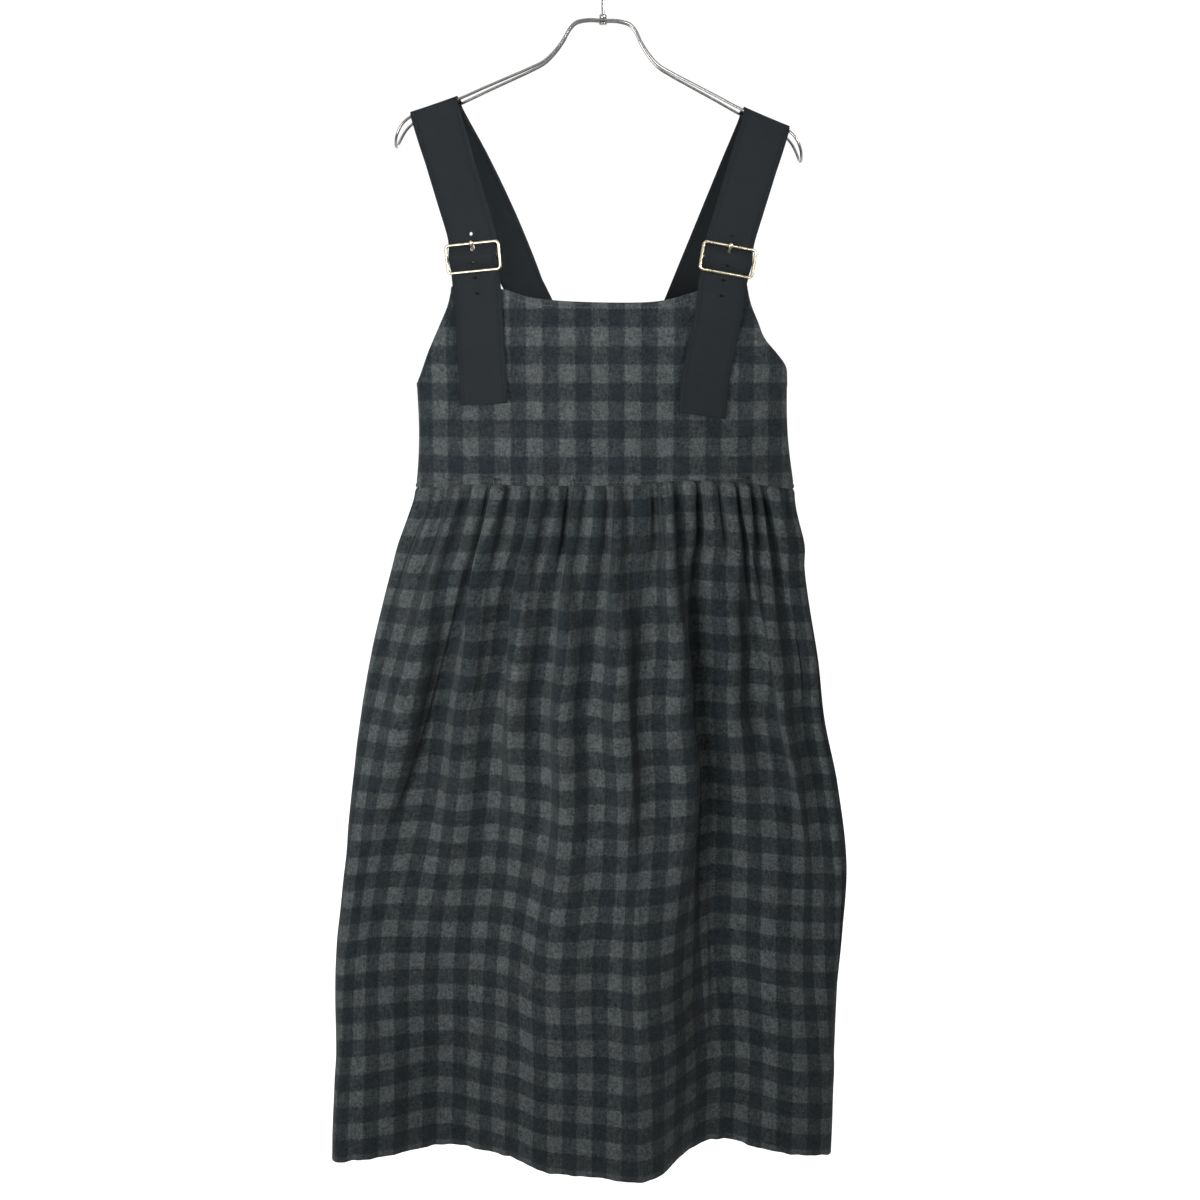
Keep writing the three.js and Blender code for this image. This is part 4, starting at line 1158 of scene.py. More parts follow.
@dataclass
class Bodice:
    """Bib and back panel above the waist seam, with turned and topstitched edges."""

    columns: int = 190
    rows: int = 84
    thickness: float = 1.3
    turned: float = 14
    slices: int = 52
    samples: int = 361
    full_width: float = 380
    top_width: float = 290
    rounds: int = 8
    turned_rows: int = 7
    reach: float = 1.5
    dents: SoftNoise = field(default_factory=lambda: SoftNoise(41, (52, 44)))
    small: SoftNoise = field(default_factory=lambda: SoftNoise(43, (15, 13)))

    def __post_init__(self) -> None:
        """Lays out the plan curves that the surfaces are read from."""
        self.heights = np.linspace(-560, -328, self.slices)
        self.curves = {side: self.sliced(side) for side in Side}

    @staticmethod
    def height(side: Side) -> float:
        """Height of a panel at its middle."""
        return 180.0 if side is Side.FRONT else 108.0

    @staticmethod
    def ends(side: Side, z: float, curve: PlanCurve) -> tuple[float, float]:
        """Distances along a plan curve between which the panel reaches."""
        if side is Side.FRONT and z > FORM.armpit_z:
            return tuple(curve.distance_at(float(ARMHOLE.at(z, c))) for c in (0, 1))
        return 0.0, curve.length

    def sliced(self, side: Side) -> tuple[np.ndarray, np.ndarray]:
        """Points of a panel at even shares of its width, on each of the plan heights."""
        points, middles = [], []
        for z in self.heights:
            curve = PlanCurve(z, 0, side)
            distance = np.linspace(*self.ends(side, z, curve), self.samples)
            points.append(curve.at(distance))
            middles.append(distance - curve.distance_at(0.0))
        return np.array(points), np.array(middles)

    def read(self, side: Side, sideways: np.ndarray, z: np.ndarray) -> tuple[np.ndarray, np.ndarray]:
        """Plan points and cloth distances from the middle at shares of the width and heights."""
        points, middles = self.curves[side]
        s = np.clip(sideways, 0, 1) * (self.samples - 1)
        t = np.interp(z, self.heights, np.arange(self.slices))
        i, j = np.minimum(s.astype(int), self.samples - 2), np.minimum(t.astype(int), self.slices - 2)
        s, t = s - i, t - j
        both = np.concatenate([points, middles[..., None]], -1)
        low = both[j, i] * (1 - s)[..., None] + both[j, i + 1] * s[..., None]
        high = both[j + 1, i] * (1 - s)[..., None] + both[j + 1, i + 1] * s[..., None]
        mixed = low * (1 - t)[..., None] + high * t[..., None]
        return mixed[..., :2], mixed[..., 2]

    def surface(self, side: Side, sideways: np.ndarray, upward: np.ndarray) -> tuple[np.ndarray, ...]:
        """Points of a panel's middle surface.

        Args:
            side: Front or back.
            sideways: Shares of the width, from the panel's first edge.
            upward: Shares of the height, from the waist seam to the top edge.

        Returns:
            The points, their outward directions and their cloth distances from the middle.
        """
        x = np.zeros_like(sideways)
        for _ in range(self.rounds):
            waist = EDGES[side].at(x, WAIST) + FORM.gap / 2
            z = waist + (TOP_EDGES[side].at(x) - waist) * upward
            plan, middle = self.read(side, sideways, z)
            x = plan[..., 0]
        step = self.reach / self.full_width
        run = self.read(side, sideways + step, z)[0] - self.read(side, sideways - step, z)[0]
        run = unit(run)
        outward = np.stack([run[..., 1], -run[..., 0], np.zeros_like(x)], -1)
        return np.concatenate([plan, z[..., None]], -1), outward, middle

    def relief(
        self, side: Side, middle: np.ndarray, z: np.ndarray, sideways: np.ndarray, upward: np.ndarray
    ) -> np.ndarray:
        """Soft dents of the cloth, the rolled edges and the grooves of their stitching."""
        height, wide = self.height(side), self.full_width
        from_top, from_waist = (1 - upward) * height, upward * height
        if side is Side.FRONT:
            wide = np.interp(z, (FORM.armpit_z, -330), (self.full_width, self.top_width))
        from_side = np.minimum(sideways, 1 - sideways) * wide
        free = smoothstep(from_side, 0, 14)
        soft = (self.dents.at(middle, z) * 1.0 + self.small.at(middle, z) * 0.28) * free
        rolled = 0.0
        edges = [from_top, from_waist]
        if side is Side.FRONT:
            edges.append(np.where(z > FORM.armpit_z - 2, from_side, 99.0))
        for away in edges:
            rolled = rolled + 0.5 * np.exp(-(((away - 1.6) / 1.6) ** 2))
            rolled = rolled - 0.55 * np.exp(-(((away - 4.6) / 1.0) ** 2))
        puckers = self.small.at(middle * 3.4, z * 0.3) * 0.5 * np.exp(-((from_waist / 16) ** 2))
        return soft + rolled + puckers * free

    def panel(self, side: Side, finish: bpy.types.Material) -> bpy.types.Object:
        """Makes one panel, whose top edge turns over to the inside."""
        rows = self.rows if side is Side.FRONT else self.rows // 2
        turn = self.turned_rows

        def place(columns: int, count: int) -> tuple[np.ndarray, np.ndarray]:
            sideways = np.tile(np.arange(columns + 1) / columns, (count + 1, 1))
            height = self.height(side)
            steps = np.concatenate([np.linspace(0, self.turned, 5)[::-1], np.zeros(2)])
            inset = np.concatenate([[1.9] * 4, [1.5, 1.3, 0.5], np.zeros(count + 1 - turn)])
            lift = np.concatenate([steps[:5], [-0.45, -0.45], np.zeros(count + 1 - turn)])
            main = 1 - np.linspace(0, 1, count + 1 - turn)
            upward = np.concatenate([1 - lift[:turn].clip(0) / height, main])
            upward = np.tile(upward[:, None], (1, columns + 1))
            points, outward, middle = self.surface(side, sideways, upward)
            relief = self.relief(side, middle, points[..., 2], sideways, upward)
            relief[:turn] = relief[turn]
            points = points + outward * (relief - inset[:, None])[..., None]
            points[:turn, :, 2] += -np.minimum(lift[:turn], 0)[:, None]
            under = self.under_waist(points, outward)
            cloth = np.stack([middle, -points[..., 2]], -1)
            return under, cloth

        name = "bib_front" if side is Side.FRONT else "bodice_back"
        mesh = cloth_grid(name + "_cloth", self.columns, rows + turn, place)
        piece = publish(name + "_cloth", mesh, finish)
        thicken(piece, self.thickness, 0.45)
        return register(piece, "flannel", name)

    def face(
        self, side: Side, sideways: np.ndarray, upward: np.ndarray
    ) -> tuple[np.ndarray, np.ndarray]:
        """Points on a panel's outer face and their outward directions."""
        points, outward, middle = self.surface(side, sideways, upward)
        relief = self.relief(side, middle, points[..., 2], sideways, upward)
        return points + outward * (relief + self.thickness / 2)[..., None], outward

    def share_at(self, side: Side, x: float, z: float) -> tuple[float, float]:
        """Shares of the width and height at a place seen from the front."""
        curve = PlanCurve(z, 0, side)
        start, end = self.ends(side, z, curve)
        waist = float(EDGES[side].at(x, WAIST)) + FORM.gap / 2
        upward = (z - waist) / (float(TOP_EDGES[side].at(x)) - waist)
        return (curve.distance_at(x) - start) / (end - start), upward

    def topstitch(self, side: Side, thread: bpy.types.Material) -> bpy.types.Object:
        """Sews the seam line above the waist, the turned edges and, behind, the strap ends."""
        front = side is Side.FRONT
        sewing = Stitches("bib_front_topstitch" if front else "bodice_back_topstitch")
        height = self.height(side)
        level = np.linspace(0.02, 0.98, 240)
        for away in (3.4, height - 4.6):
            sewing.run(*self.face(side, level, np.full_like(level, away / height)))
        if front:
            armpit = (FORM.armpit_z + 530) / height
            rise = np.linspace(armpit + 0.02, 0.97, 60)
            for edge in (0.0, 1.0):
                inward = 4.6 / np.interp(rise, (armpit, 1), (self.full_width, self.top_width))
                sewing.run(*self.face(side, np.abs(edge - inward), rise))
        else:
            for shape in STRAPS:
                sewing = self.strap_box(sewing, shape)
        return sewing.finish(thread)

    def strap_box(self, sewing: "Stitches", shape: "StrapShape") -> "Stitches":
        """Sews a crossed box through a strap's end on the back panel."""
        half, low, high = shape.width / 2 - 4, -441.0, -425.5
        lean = (shape.back_top[0] - shape.back_end[0]) / (shape.back_top[1] - shape.back_end[1])
        foot_x, foot_z = shape.back_end
        corners = [
            (foot_x + lean * (z - foot_z) + s * half, z)
            for z, s in ((low, -1), (high, -1), (high, 1), (low, 1))
        ]
        crossed = [(corners[0], corners[2]), (corners[1], corners[3])]
        for (x0, z0), (x1, z1) in [*zip(corners, corners[1:] + corners[:1]), *crossed]:
            shares = [
                self.share_at(Side.BACK, x0 + (x1 - x0) * t, z0 + (z1 - z0) * t)
                for t in np.linspace(0.03, 0.97, 12)
            ]
            sideways, upward = np.array(shares).T
            sewing.run(*self.face(Side.BACK, sideways, upward))
        return sewing

    @staticmethod
    def under_waist(points: np.ndarray, outward: np.ndarray) -> np.ndarray:
        """Curls the lowest row of points in toward the seam."""
        made = points.copy()
        made[-1] -= outward[-1] * 0.7
        return made


@dataclass(frozen=True)
class HangerShape:
    """Line of the hanger's wires, and how it hangs."""

    shoulder: Table = Table(
        (0, -79, 3.2),
        (15, -79, 3.4),
        (26, -81.7, 4),
        (32, -87.6, 4.6),
        (38, -98.5, 5.4),
        (46, -109.6, 6.4),
        (56, -119.4, 7.4),
        (70, -127, 8.8),
        (86, -134.5, 10.2),
        (112, -146.6, 12.2),
        (138, -158.9, 14.4),
        (162, -168.3, 16.4),
        (182, -176.4, 18.2),
        (191.5, -184.5, 18.6),
        (197, -194.5, 15.6),
        (199, -201.5, 8.5),
    )
    tip: tuple[float, float] = (199.4, -204)
    neck: float = -79
    tilt: float = 2
    radius: float = 1.4

    def point(self, x: float, side: Side) -> Vector:
        """Point of a wire before the hanger is tilted, from its neck."""
        away = abs(x)
        z, apart = float(self.shoulder.at(away, 0)), float(self.shoulder.at(away, 1))
        return Vector((x, -side.value * apart, z - self.neck))

    def tilted(self, point: Vector) -> Vector:
        """A point of the tilted hanger."""
        return Matrix.Rotation(math.radians(self.tilt), 3, "Y") @ point + Vector((0, 0, self.neck))

    def wire_at(self, x: float, side: Side) -> tuple[Vector, Vector]:
        """Point of a wire and the direction along it."""
        run = self.tilted(self.point(x + 5, side)) - self.tilted(self.point(x - 5, side))
        return self.tilted(self.point(x, side)), run.normalized()


HANGER = HangerShape()


@dataclass(frozen=True)
class BuckleShape:
    """Sizes of a buckle and its prong."""

    width: float = 53
    height: float = 26.6
    wire: float = 1.5
    corner: float = 3.6
    bar: float = 1.2
    bar_back: float = 2
    before_bib: float = 7.2
    hang_z: float = -336
    prong_half: float = 1.9
    prong_thick: float = 0.8
    prong_ring: float = 0.8
    hole_half: float = 2.4
    hole: tuple[float, float] = (5.8, 12.4)


BUCKLE = BuckleShape()


@dataclass(frozen=True)
class StrapShape:
    """Where a strap runs and where its buckle hangs."""

    hand: Hand
    wire_x: float
    back_x: float
    buckle_x: float
    buckle_z: float
    roll: float
    yaw: float
    back_end: tuple[float, float]
    back_top: tuple[float, float]
    tail: tuple[tuple[float, float, float], ...]
    climb_bow: float = 0
    turn: float = 0.1
    width: float = 48
    thick: float = 1.6
    bow: float = 0.4

    @property
    def frame(self) -> Matrix:
        """The buckle's place and turn."""
        y = bib_depth(self.buckle_x, BUCKLE.hang_z) - BUCKLE.before_bib
        turn = Matrix.Rotation(math.radians(-self.yaw), 4, "Z")
        turn = turn @ Matrix.Rotation(math.radians(self.roll), 4, "Y")
        return Matrix.Translation((self.buckle_x, y, self.buckle_z)) @ turn


def bib_depth(x: float, z: float) -> float:
    """Depth of the bib's middle surface behind a place seen from the front."""
    return PlanCurve(z, 0, Side.FRONT).depth_at(x)


def bib_slope(x: float, z: float) -> float:
    """Slope of the bib's face across the width."""
    return (bib_depth(x + 12, z) - bib_depth(x - 12, z)) / 24


STRAPS = (
    StrapShape(
        Hand.LEFT, -161, -160, -127.2, -304.7, -5, 10, (-37, -444), (-46, -419),
        ((-124.4, -330, 4.5), (-123.3, -341, 4.4), (-122.7, -356, 4.2), (-121.6, -380, 2.4),
         (-120, -408, 2.6), (-119.1, -428, 4), (-118.6, -447, 6)),
        climb_bow=6.5, turn=1.5,
    ),
    StrapShape(
        Hand.RIGHT, 162, 161, 122.2, -307, 9.5, -10, (49, -444), (58, -419),
        ((117.2, -331, 4.5), (116.2, -342, 4.4), (114.2, -357, 4.2), (110, -380, 2.4),
         (104.6, -406, 2.6), (100.8, -430, 4), (98.6, -458.5, 6)),
    ),
)


class Route:
    """Smooth curve through points, evenly eased by their distances."""

    def __init__(self, points: Sequence[Vector], closed: bool = False) -> None:
        """Keeps the points."""
        self.points, self.closed = [Vector(p) for p in points], closed

    def at(self, t: float) -> Vector:
        """Point at a share of the route, counted by its points."""
        points, count = self.points, len(self.points)
        place = (count - (0 if self.closed else 1)) * t
        index = int(math.floor(place))
        weight = place - index
        if not self.closed and index >= count - 1:
            index, weight = count - 2, 1.0
        pick = lambda i: points[i % count]
        p1, p2 = pick(index), pick(index + 1)
        p0 = pick(index - 1) if self.closed or index > 0 else p1 * 2 - p2
        p3 = pick(index + 2) if self.closed or index + 2 < count else p2 * 2 - p1
        gaps = [max((b - a).length, 1e-4) ** 0.5 for a, b in ((p0, p1), (p1, p2), (p2, p3))]
        leave = ((p1 - p0) / gaps[0] - (p2 - p0) / (gaps[0] + gaps[1]) + (p2 - p1) / gaps[1]) * gaps[1]
        arrive = ((p2 - p1) / gaps[1] - (p3 - p1) / (gaps[1] + gaps[2]) + (p3 - p2) / gaps[2]) * gaps[1]
        w2, w3 = weight**2, weight**3
        return (
            p1 * (2 * w3 - 3 * w2 + 1) + leave * (w3 - 2 * w2 + weight)
            + p2 * (3 * w2 - 2 * w3) + arrive * (w3 - w2)
        )

    def heading(self, t: float) -> Vector:
        """Direction at a share of the route."""
        low, high = (t - 1e-3, t + 1e-3) if self.closed else (max(t - 1e-3, 0), min(t + 1e-3, 1))
        if self.closed:
            low, high = low % 1, high % 1
        return (self.at(high) - self.at(low)).normalized()


@dataclass
class Ribbon:
    """Flat webbing through stations, each with its middle and the direction of its width."""

    stations: list[tuple[Vector, Vector]]
    width: float
    thick: float
    between: int = 9
    across: int = 12
    crown: float = 0.25

    def __post_init__(self) -> None:
        """Samples the route."""
        route = Route([middle for middle, _ in self.stations])
        spans = len(self.stations) - 1
        self.count = spans * self.between
        middles, broads, faces = [], [], []
        for i in range(self.count + 1):
            t = i / self.count
            index = min(int(t * spans), spans - 1)
            share = t * spans - index
            broad = self.stations[index][1].lerp(self.stations[index + 1][1], share).normalized()
            face = broad.cross(route.heading(t)).normalized()
            middles.append(route.at(t))
            broads.append(broad)
            faces.append(face)
        self.middles, self.broads, self.faces = (
            np.array([tuple(v) for v in run]) for run in (middles, broads, faces)
        )
        steps = np.linalg.norm(np.diff(self.middles, axis=0), axis=1)
        self.lengths = np.concatenate([[0], np.cumsum(steps)])

    @property
    def length(self) -> float:
        """Length of the webbing."""
        return float(self.lengths[-1])

    def mesh(self, name: str) -> bpy.types.Mesh:
        """Makes the webbing's middle surface."""

        def place(columns: int, rows: int) -> tuple[np.ndarray, np.ndarray]:
            side = np.linspace(-0.5, 0.5, columns + 1)
            offset = side * self.width
            points = self.middles[:, None] + self.broads[:, None] * offset[None, :, None]
            bow = self.crown * (1 - (2 * side) ** 2)
            points = points + self.faces[:, None] * bow[None, :, None]
            cloth = np.stack(np.broadcast_arrays(offset[None], self.lengths[:, None]), -1)
            return points, cloth

        return cloth_grid(name, self.across, self.count, place)

    def line(self, distance: float, margin: float, out: float) -> tuple[np.ndarray, np.ndarray]:
        """Points of a line across the webbing's face, and the way out of it.

        Args:
            distance: Where it lies along the webbing.
            margin: How far it stays from the edges.
            out: How far it lies off the middle surface, on the face side or, below nought, behind.

        Returns:
            The points and their outward directions.
        """
        middle, broad, face = (
            np.array([np.interp(distance, self.lengths, rows[:, i]) for i in range(3)])
            for rows in (self.middles, self.broads, self.faces)
        )
        offset = np.linspace(margin - self.width / 2, self.width / 2 - margin, 12)
        points = middle + broad * offset[:, None] + face * out
        return points, np.tile(face * math.copysign(1, out), (12, 1))


def pierce(
    piece: bpy.types.Object, cutters: Sequence[tuple[Matrix, tuple[float, float, float], int]]
) -> None:
    """Cuts holes through a piece.

    Args:
        piece: The piece to pierce, already with its thickness.
        cutters: For each hole its place, its half width, half depth and half height, and how many
            sides it has.
    """
    bm = bmesh.new()
    for place, half, sides in cutters:
        turn = Matrix.Rotation(math.radians(90), 4, "X")
        size = Matrix.Diagonal((half[0] * MM, half[1] * MM, half[2] * MM, 1))
        spot = place.copy()
        spot.translation = spot.translation * MM
        if sides == 4:
            bmesh.ops.create_cube(bm, size=2, matrix=spot @ size)
        else:
            bmesh.ops.create_cone(
                bm, cap_ends=True, segments=sides, radius1=1, radius2=1, depth=2,
                matrix=spot @ size @ turn,
            )
    bmesh.ops.recalc_face_normals(bm, faces=bm.faces)
    mesh = bpy.data.meshes.new("holes")
    bm.to_mesh(mesh)
    bm.free()
    tool = bpy.data.objects.new("holes", mesh)
    bpy.context.scene.collection.objects.link(tool)
    cut = piece.modifiers.new("Holes", "BOOLEAN")
    cut.operation, cut.object, cut.solver = "DIFFERENCE", tool, "EXACT"
    settle(piece)
    bpy.data.objects.remove(tool)
    bpy.data.meshes.remove(mesh)


@dataclass
class Strap:
    """One webbing strap from the back panel over the hanger and through its buckle."""

    shape: StrapShape
    hole_radius: float = 1.7
    worn_radius: float = 1.2
    hole_pitch: float = 15
    climb_shares: tuple[float, ...] = (0.12, 0.35, 0.6, 0.82)
    front_shares: tuple[float, ...] = (0.12, 0.4, 0.7)
    turned_by: float = 0.33
    dip: float = 1.2

    def stations(self) -> list[tuple[Vector, Vector]]:
        """Middles and width directions from the back end to the tail's end."""
        shape, frame_ = self.shape, self.shape.frame
        level = (frame_.to_3x3() @ Vector((1, 0, 0))).normalized()
        inside = lambda y, z: frame_ @ Vector((0, y, z))
        rest = BUCKLE.wire + FORM.gap + shape.thick / 2
        over_loop = BUCKLE.bar_back - BUCKLE.bar - 2 * FORM.gap - 1.5 - FORM.gap - shape.thick / 2
        half = BUCKLE.height / 2
        front_wire = HANGER.wire_at(shape.wire_x, Side.FRONT)
        back_wire = HANGER.wire_at(shape.back_x, Side.BACK)
        clear = HANGER.radius + FORM.gap + shape.bow + shape.thick / 2

        def round_(wire: tuple[Vector, Vector], degrees: float) -> tuple[Vector, Vector]:
            angle = math.radians(degrees)
            return wire[0] + Vector((0, clear * math.cos(angle), clear * math.sin(angle))), wire[1]

        top = inside(rest, half + 7)
        run = round_(front_wire, 205)[0]
        front = [
            (run.lerp(top, s), front_wire[1].lerp(level, float(smoothstep(s, -0.1, 0.5))).normalized())
            for s in self.front_shares
        ]
        sag = round_(front_wire, 90)[0].lerp(round_(back_wire, 90)[0], 0.5)
        sag.z -= self.dip
        between = lambda share: rest + (over_loop - rest) * share
        tail = [
            (Vector((x, bib_depth(x, z) - FORM.wall / 2 - lift, z)), self.tail_broad(x, z))
            for x, z, lift in shape.tail
        ]
        return [
            *self.back_run(round_(back_wire, -25)),
            *(round_(back_wire, d) for d in (0, 45, 90)),
            (sag, back_wire[1].lerp(front_wire[1], 0.5).normalized()),
            *(round_(front_wire, d) for d in (90, 135, 180)),
            *front,
            (top, level),
            (inside(rest, half), level),
            (inside(rest - 0.2, half * 0.8), level),
            (inside(between(0.62), half * 0.45), level),
            (inside(over_loop, 0), level),
            (inside(between(0.62), -half * 0.45), level),
            (inside(rest - 0.2, -half * 0.8), level),
            (inside(rest, -half), level),
            *tail,
        ]

    def tail_broad(self, x: float, z: float) -> Vector:
        """Direction of the tail's width, along the bib's face with the tail's slant."""
        first, last = self.shape.tail[0], self.shape.tail[-1]
        slant = (last[0] - first[0]) / (first[1] - last[1])
        return Vector((1, bib_slope(x, z), slant)).normalized()

    def back_run(self, wire_end: tuple[Vector, Vector]) -> list[tuple[Vector, Vector]]:
        """Stations from inside the back panel up to the back wire."""
        shape = self.shape
        inside = FORM.wall / 2 + FORM.gap + 2 * shape.bow + shape.thick / 2
        depth = lambda x, z: PlanCurve(z, 0, Side.BACK).depth_at(x) - inside
        low, high = (Vector((x, depth(x, z), z)) for x, z in (shape.back_end, shape.back_top))
        slope = (depth(high.x + 12, high.z) - depth(high.x - 12, high.z)) / 24
        lean = (high.x - low.x) / (high.z - low.z)
        level = Vector((1, slope, -lean)).normalized()
        turned = level + Vector((0, math.copysign(shape.turn, -shape.wire_x), 0))
        bow = Vector((math.copysign(4 * shape.climb_bow, -shape.wire_x), 0, 0))
        climb = []
        for s in self.climb_shares:
            broad = level.lerp(turned.normalized(), float(smoothstep(s, 0, self.turned_by)))
            middle = high.lerp(wire_end[0], s) + bow * (s * (1 - s))
            climb.append((middle, broad.lerp(wire_end[1], s).normalized()))
        return [(low, level), (high, level), *climb, wire_end]

    def build(self, finish: bpy.types.Material) -> bpy.types.Object:
        """Makes the strap with its punched holes."""
        shape = self.shape
        self.ribbon = Ribbon(self.stations(), shape.width, shape.thick)
        name = f"strap_{shape.hand.value}"
        piece = publish(name + "_webbing", self.ribbon.mesh(name + "_webbing"), finish)
        thicken(piece, shape.thick)
        low, high = BUCKLE.hole
        slot = shape.frame @ Matrix.Translation((0, 0, (low + high) / 2))
        cutters = [(slot, (BUCKLE.hole_half, 7, (high - low) / 2), 16)]
        for number, place in enumerate(self.holes()):
            radius = self.hole_radius if number == 0 else self.worn_radius
            cutters.append((place, (radius, 5, radius), 14))
        pierce(piece, cutters)
        return register(piece, "webbing", name)

    def holes(self) -> list[Matrix]:
        """Places of the punched holes above the buckle and on the tail."""
        ribbon, frame_ = self.ribbon, self.shape.frame
        prong = frame_ @ Vector((0, 0, sum(BUCKLE.hole) / 2))
        gaps = np.linalg.norm(ribbon.middles - np.array(prong), axis=1)
        start = ribbon.lengths[int(np.argmin(gaps))]
        found = []
        for step in (-1, 1, 2, 3):
            where = start + step * self.hole_pitch
            middle = Vector([np.interp(where, ribbon.lengths, ribbon.middles[:, i]) for i in range(3)])
            index = int(np.clip(np.searchsorted(ribbon.lengths, where), 0, ribbon.count))
            face, broad = Vector(ribbon.faces[index]), Vector(ribbon.broads[index])
            turn = Matrix([broad, face, broad.cross(face)]).transposed().to_4x4()
            found.append(Matrix.Translation(middle) @ turn)
        return found


@dataclass
class BuckleLoop:
    """Loop of webbing that holds a buckle's bar and is sewn to both faces of the bib's corner."""

    shape: StrapShape
    width: float = 43
    thick: float = 1.5
    slot: float = 3.6
    off_bib: float = 0.9
    outer: int = 1
    heights: tuple[float, ...] = (-330, -342, -352)

    def build(self, finish: bpy.types.Material) -> bpy.types.Object:
        """Makes the loop, with the slot that the prong turns in."""
        frame_ = self.shape.frame
        broad = (frame_.to_3x3() @ Vector((1, 0, 0))).normalized()
        clear = BUCKLE.bar + 2 * FORM.gap + self.thick / 2
        sewn = FORM.wall / 2 + self.off_bib + self.thick / 2
        x = (frame_ @ Vector((0, BUCKLE.bar_back, -clear))).x

        def round_(degrees: float) -> tuple[Vector, Vector]:
            angle = math.radians(degrees)
            y, z = BUCKLE.bar_back + clear * math.cos(angle), clear * math.sin(angle)
            return frame_ @ Vector((0, y, z)), broad

        def on_bib(z: float, side: int) -> tuple[Vector, Vector]:
            middle = Vector((x, bib_depth(x, z) + side * sewn, z))
            return middle, Vector((1, bib_slope(x, z), broad.z / broad.x)).normalized()

        inside = lambda y, z: (frame_ @ Vector((0, y, z)), broad)
        stations = [
            *(on_bib(z, 1) for z in reversed(self.heights)),
            inside(6.4, -11),
            *(round_(d) for d in (-35, 0, 45, 90, 135, 180, 225)),
            inside(3.3, -7),
            inside(5, -13.5),
            *(on_bib(z, -1) for z in self.heights),
        ]
        self.ribbon = Ribbon(stations, self.width, self.thick, between=5, crown=0)
        name = f"buckle_loop_{self.shape.hand.value}"
        piece = publish(name + "_webbing", self.ribbon.mesh(name + "_webbing"), finish)
        thicken(piece, self.thick)
        place = frame_ @ Matrix.Translation((0, BUCKLE.bar_back, 1))
        pierce(piece, [(place, (self.slot / 2, 6, 6), 4)])
        return register(piece, "webbing", name)

    def sew(self, thread: bpy.types.Material) -> bpy.types.Object:
        """Sews the loop's two ends to the bib."""
        sewing = Stitches(f"buckle_loop_{self.shape.hand.value}_stitches")
        total = self.ribbon.length
        for distance in (3.0, 15.0, total - 3.0, total - 15.0):
            sewing.run(*self.ribbon.line(distance, 2.5, self.outer * (self.thick / 2)))
        return sewing.finish(thread, "webbing")


class Wire:
    """Round wire drawn along a route."""

    def __init__(self, radius: float, sides: int = 16) -> None:
        """Keeps the wire's radius, in millimetres, and how many sides it has."""
        self.radius, self.sides = radius, sides

    def mesh(self, name: str, points: Sequence[Vector], closed: bool) -> bpy.types.Mesh:
        """Makes the wire.

        Args:
            name: The mesh's name.
            points: Points along it, in millimetres.
            closed: Whether it runs round into itself.

        Returns:
            The mesh, in metres.
        """
        curve = bpy.data.curves.new(name, "CURVE")
        curve.dimensions = "3D"
        curve.bevel_depth = self.radius * MM
        curve.bevel_resolution = self.sides // 4 - 1
        curve.use_fill_caps = not closed
        spline = curve.splines.new("POLY")
        spline.points.add(len(points) - 1)
        for target, point in zip(spline.points, points):
            target.co = (*(point * MM), 1)
        spline.use_cyclic_u = closed
        maker = bpy.data.objects.new(name, curve)
        bpy.context.scene.collection.objects.link(maker)
        graph = bpy.context.evaluated_depsgraph_get()
        mesh = bpy.data.meshes.new_from_object(maker.evaluated_get(graph))
        bpy.data.objects.remove(maker)
        bpy.data.curves.remove(curve)
        return mesh


def lathe(
    bm: bmesh.types.BMesh, profile: Sequence[tuple[float, float]], centre: Vector, sides: int = 40
) -> None:
    """Turns a profile of radii and heights, in millimetres, round an upright axis."""
    verts = [bm.verts.new((centre + Vector((r, 0, z))) * MM) for r, z in profile]
    edges = [bm.edges.new(pair) for pair in zip(verts, verts[1:])]
    bmesh.ops.spin(
        bm, geom=verts + edges, cent=centre * MM, axis=(0, 0, 1), angle=2 * math.pi, steps=sides,
        use_merge=True,
    )


def cleaned(bm: bmesh.types.BMesh, name: str) -> bpy.types.Mesh:
    """Merges a mesh's doubles, turns its faces outward and makes it a mesh."""
    bmesh.ops.remove_doubles(bm, verts=bm.verts, dist=1e-6)
    bmesh.ops.dissolve_degenerate(bm, edges=bm.edges, dist=1e-7)
    bmesh.ops.recalc_face_normals(bm, faces=bm.faces)
    mesh = bpy.data.meshes.new(name)
    bm.to_mesh(mesh)
    bm.free()
    return mesh


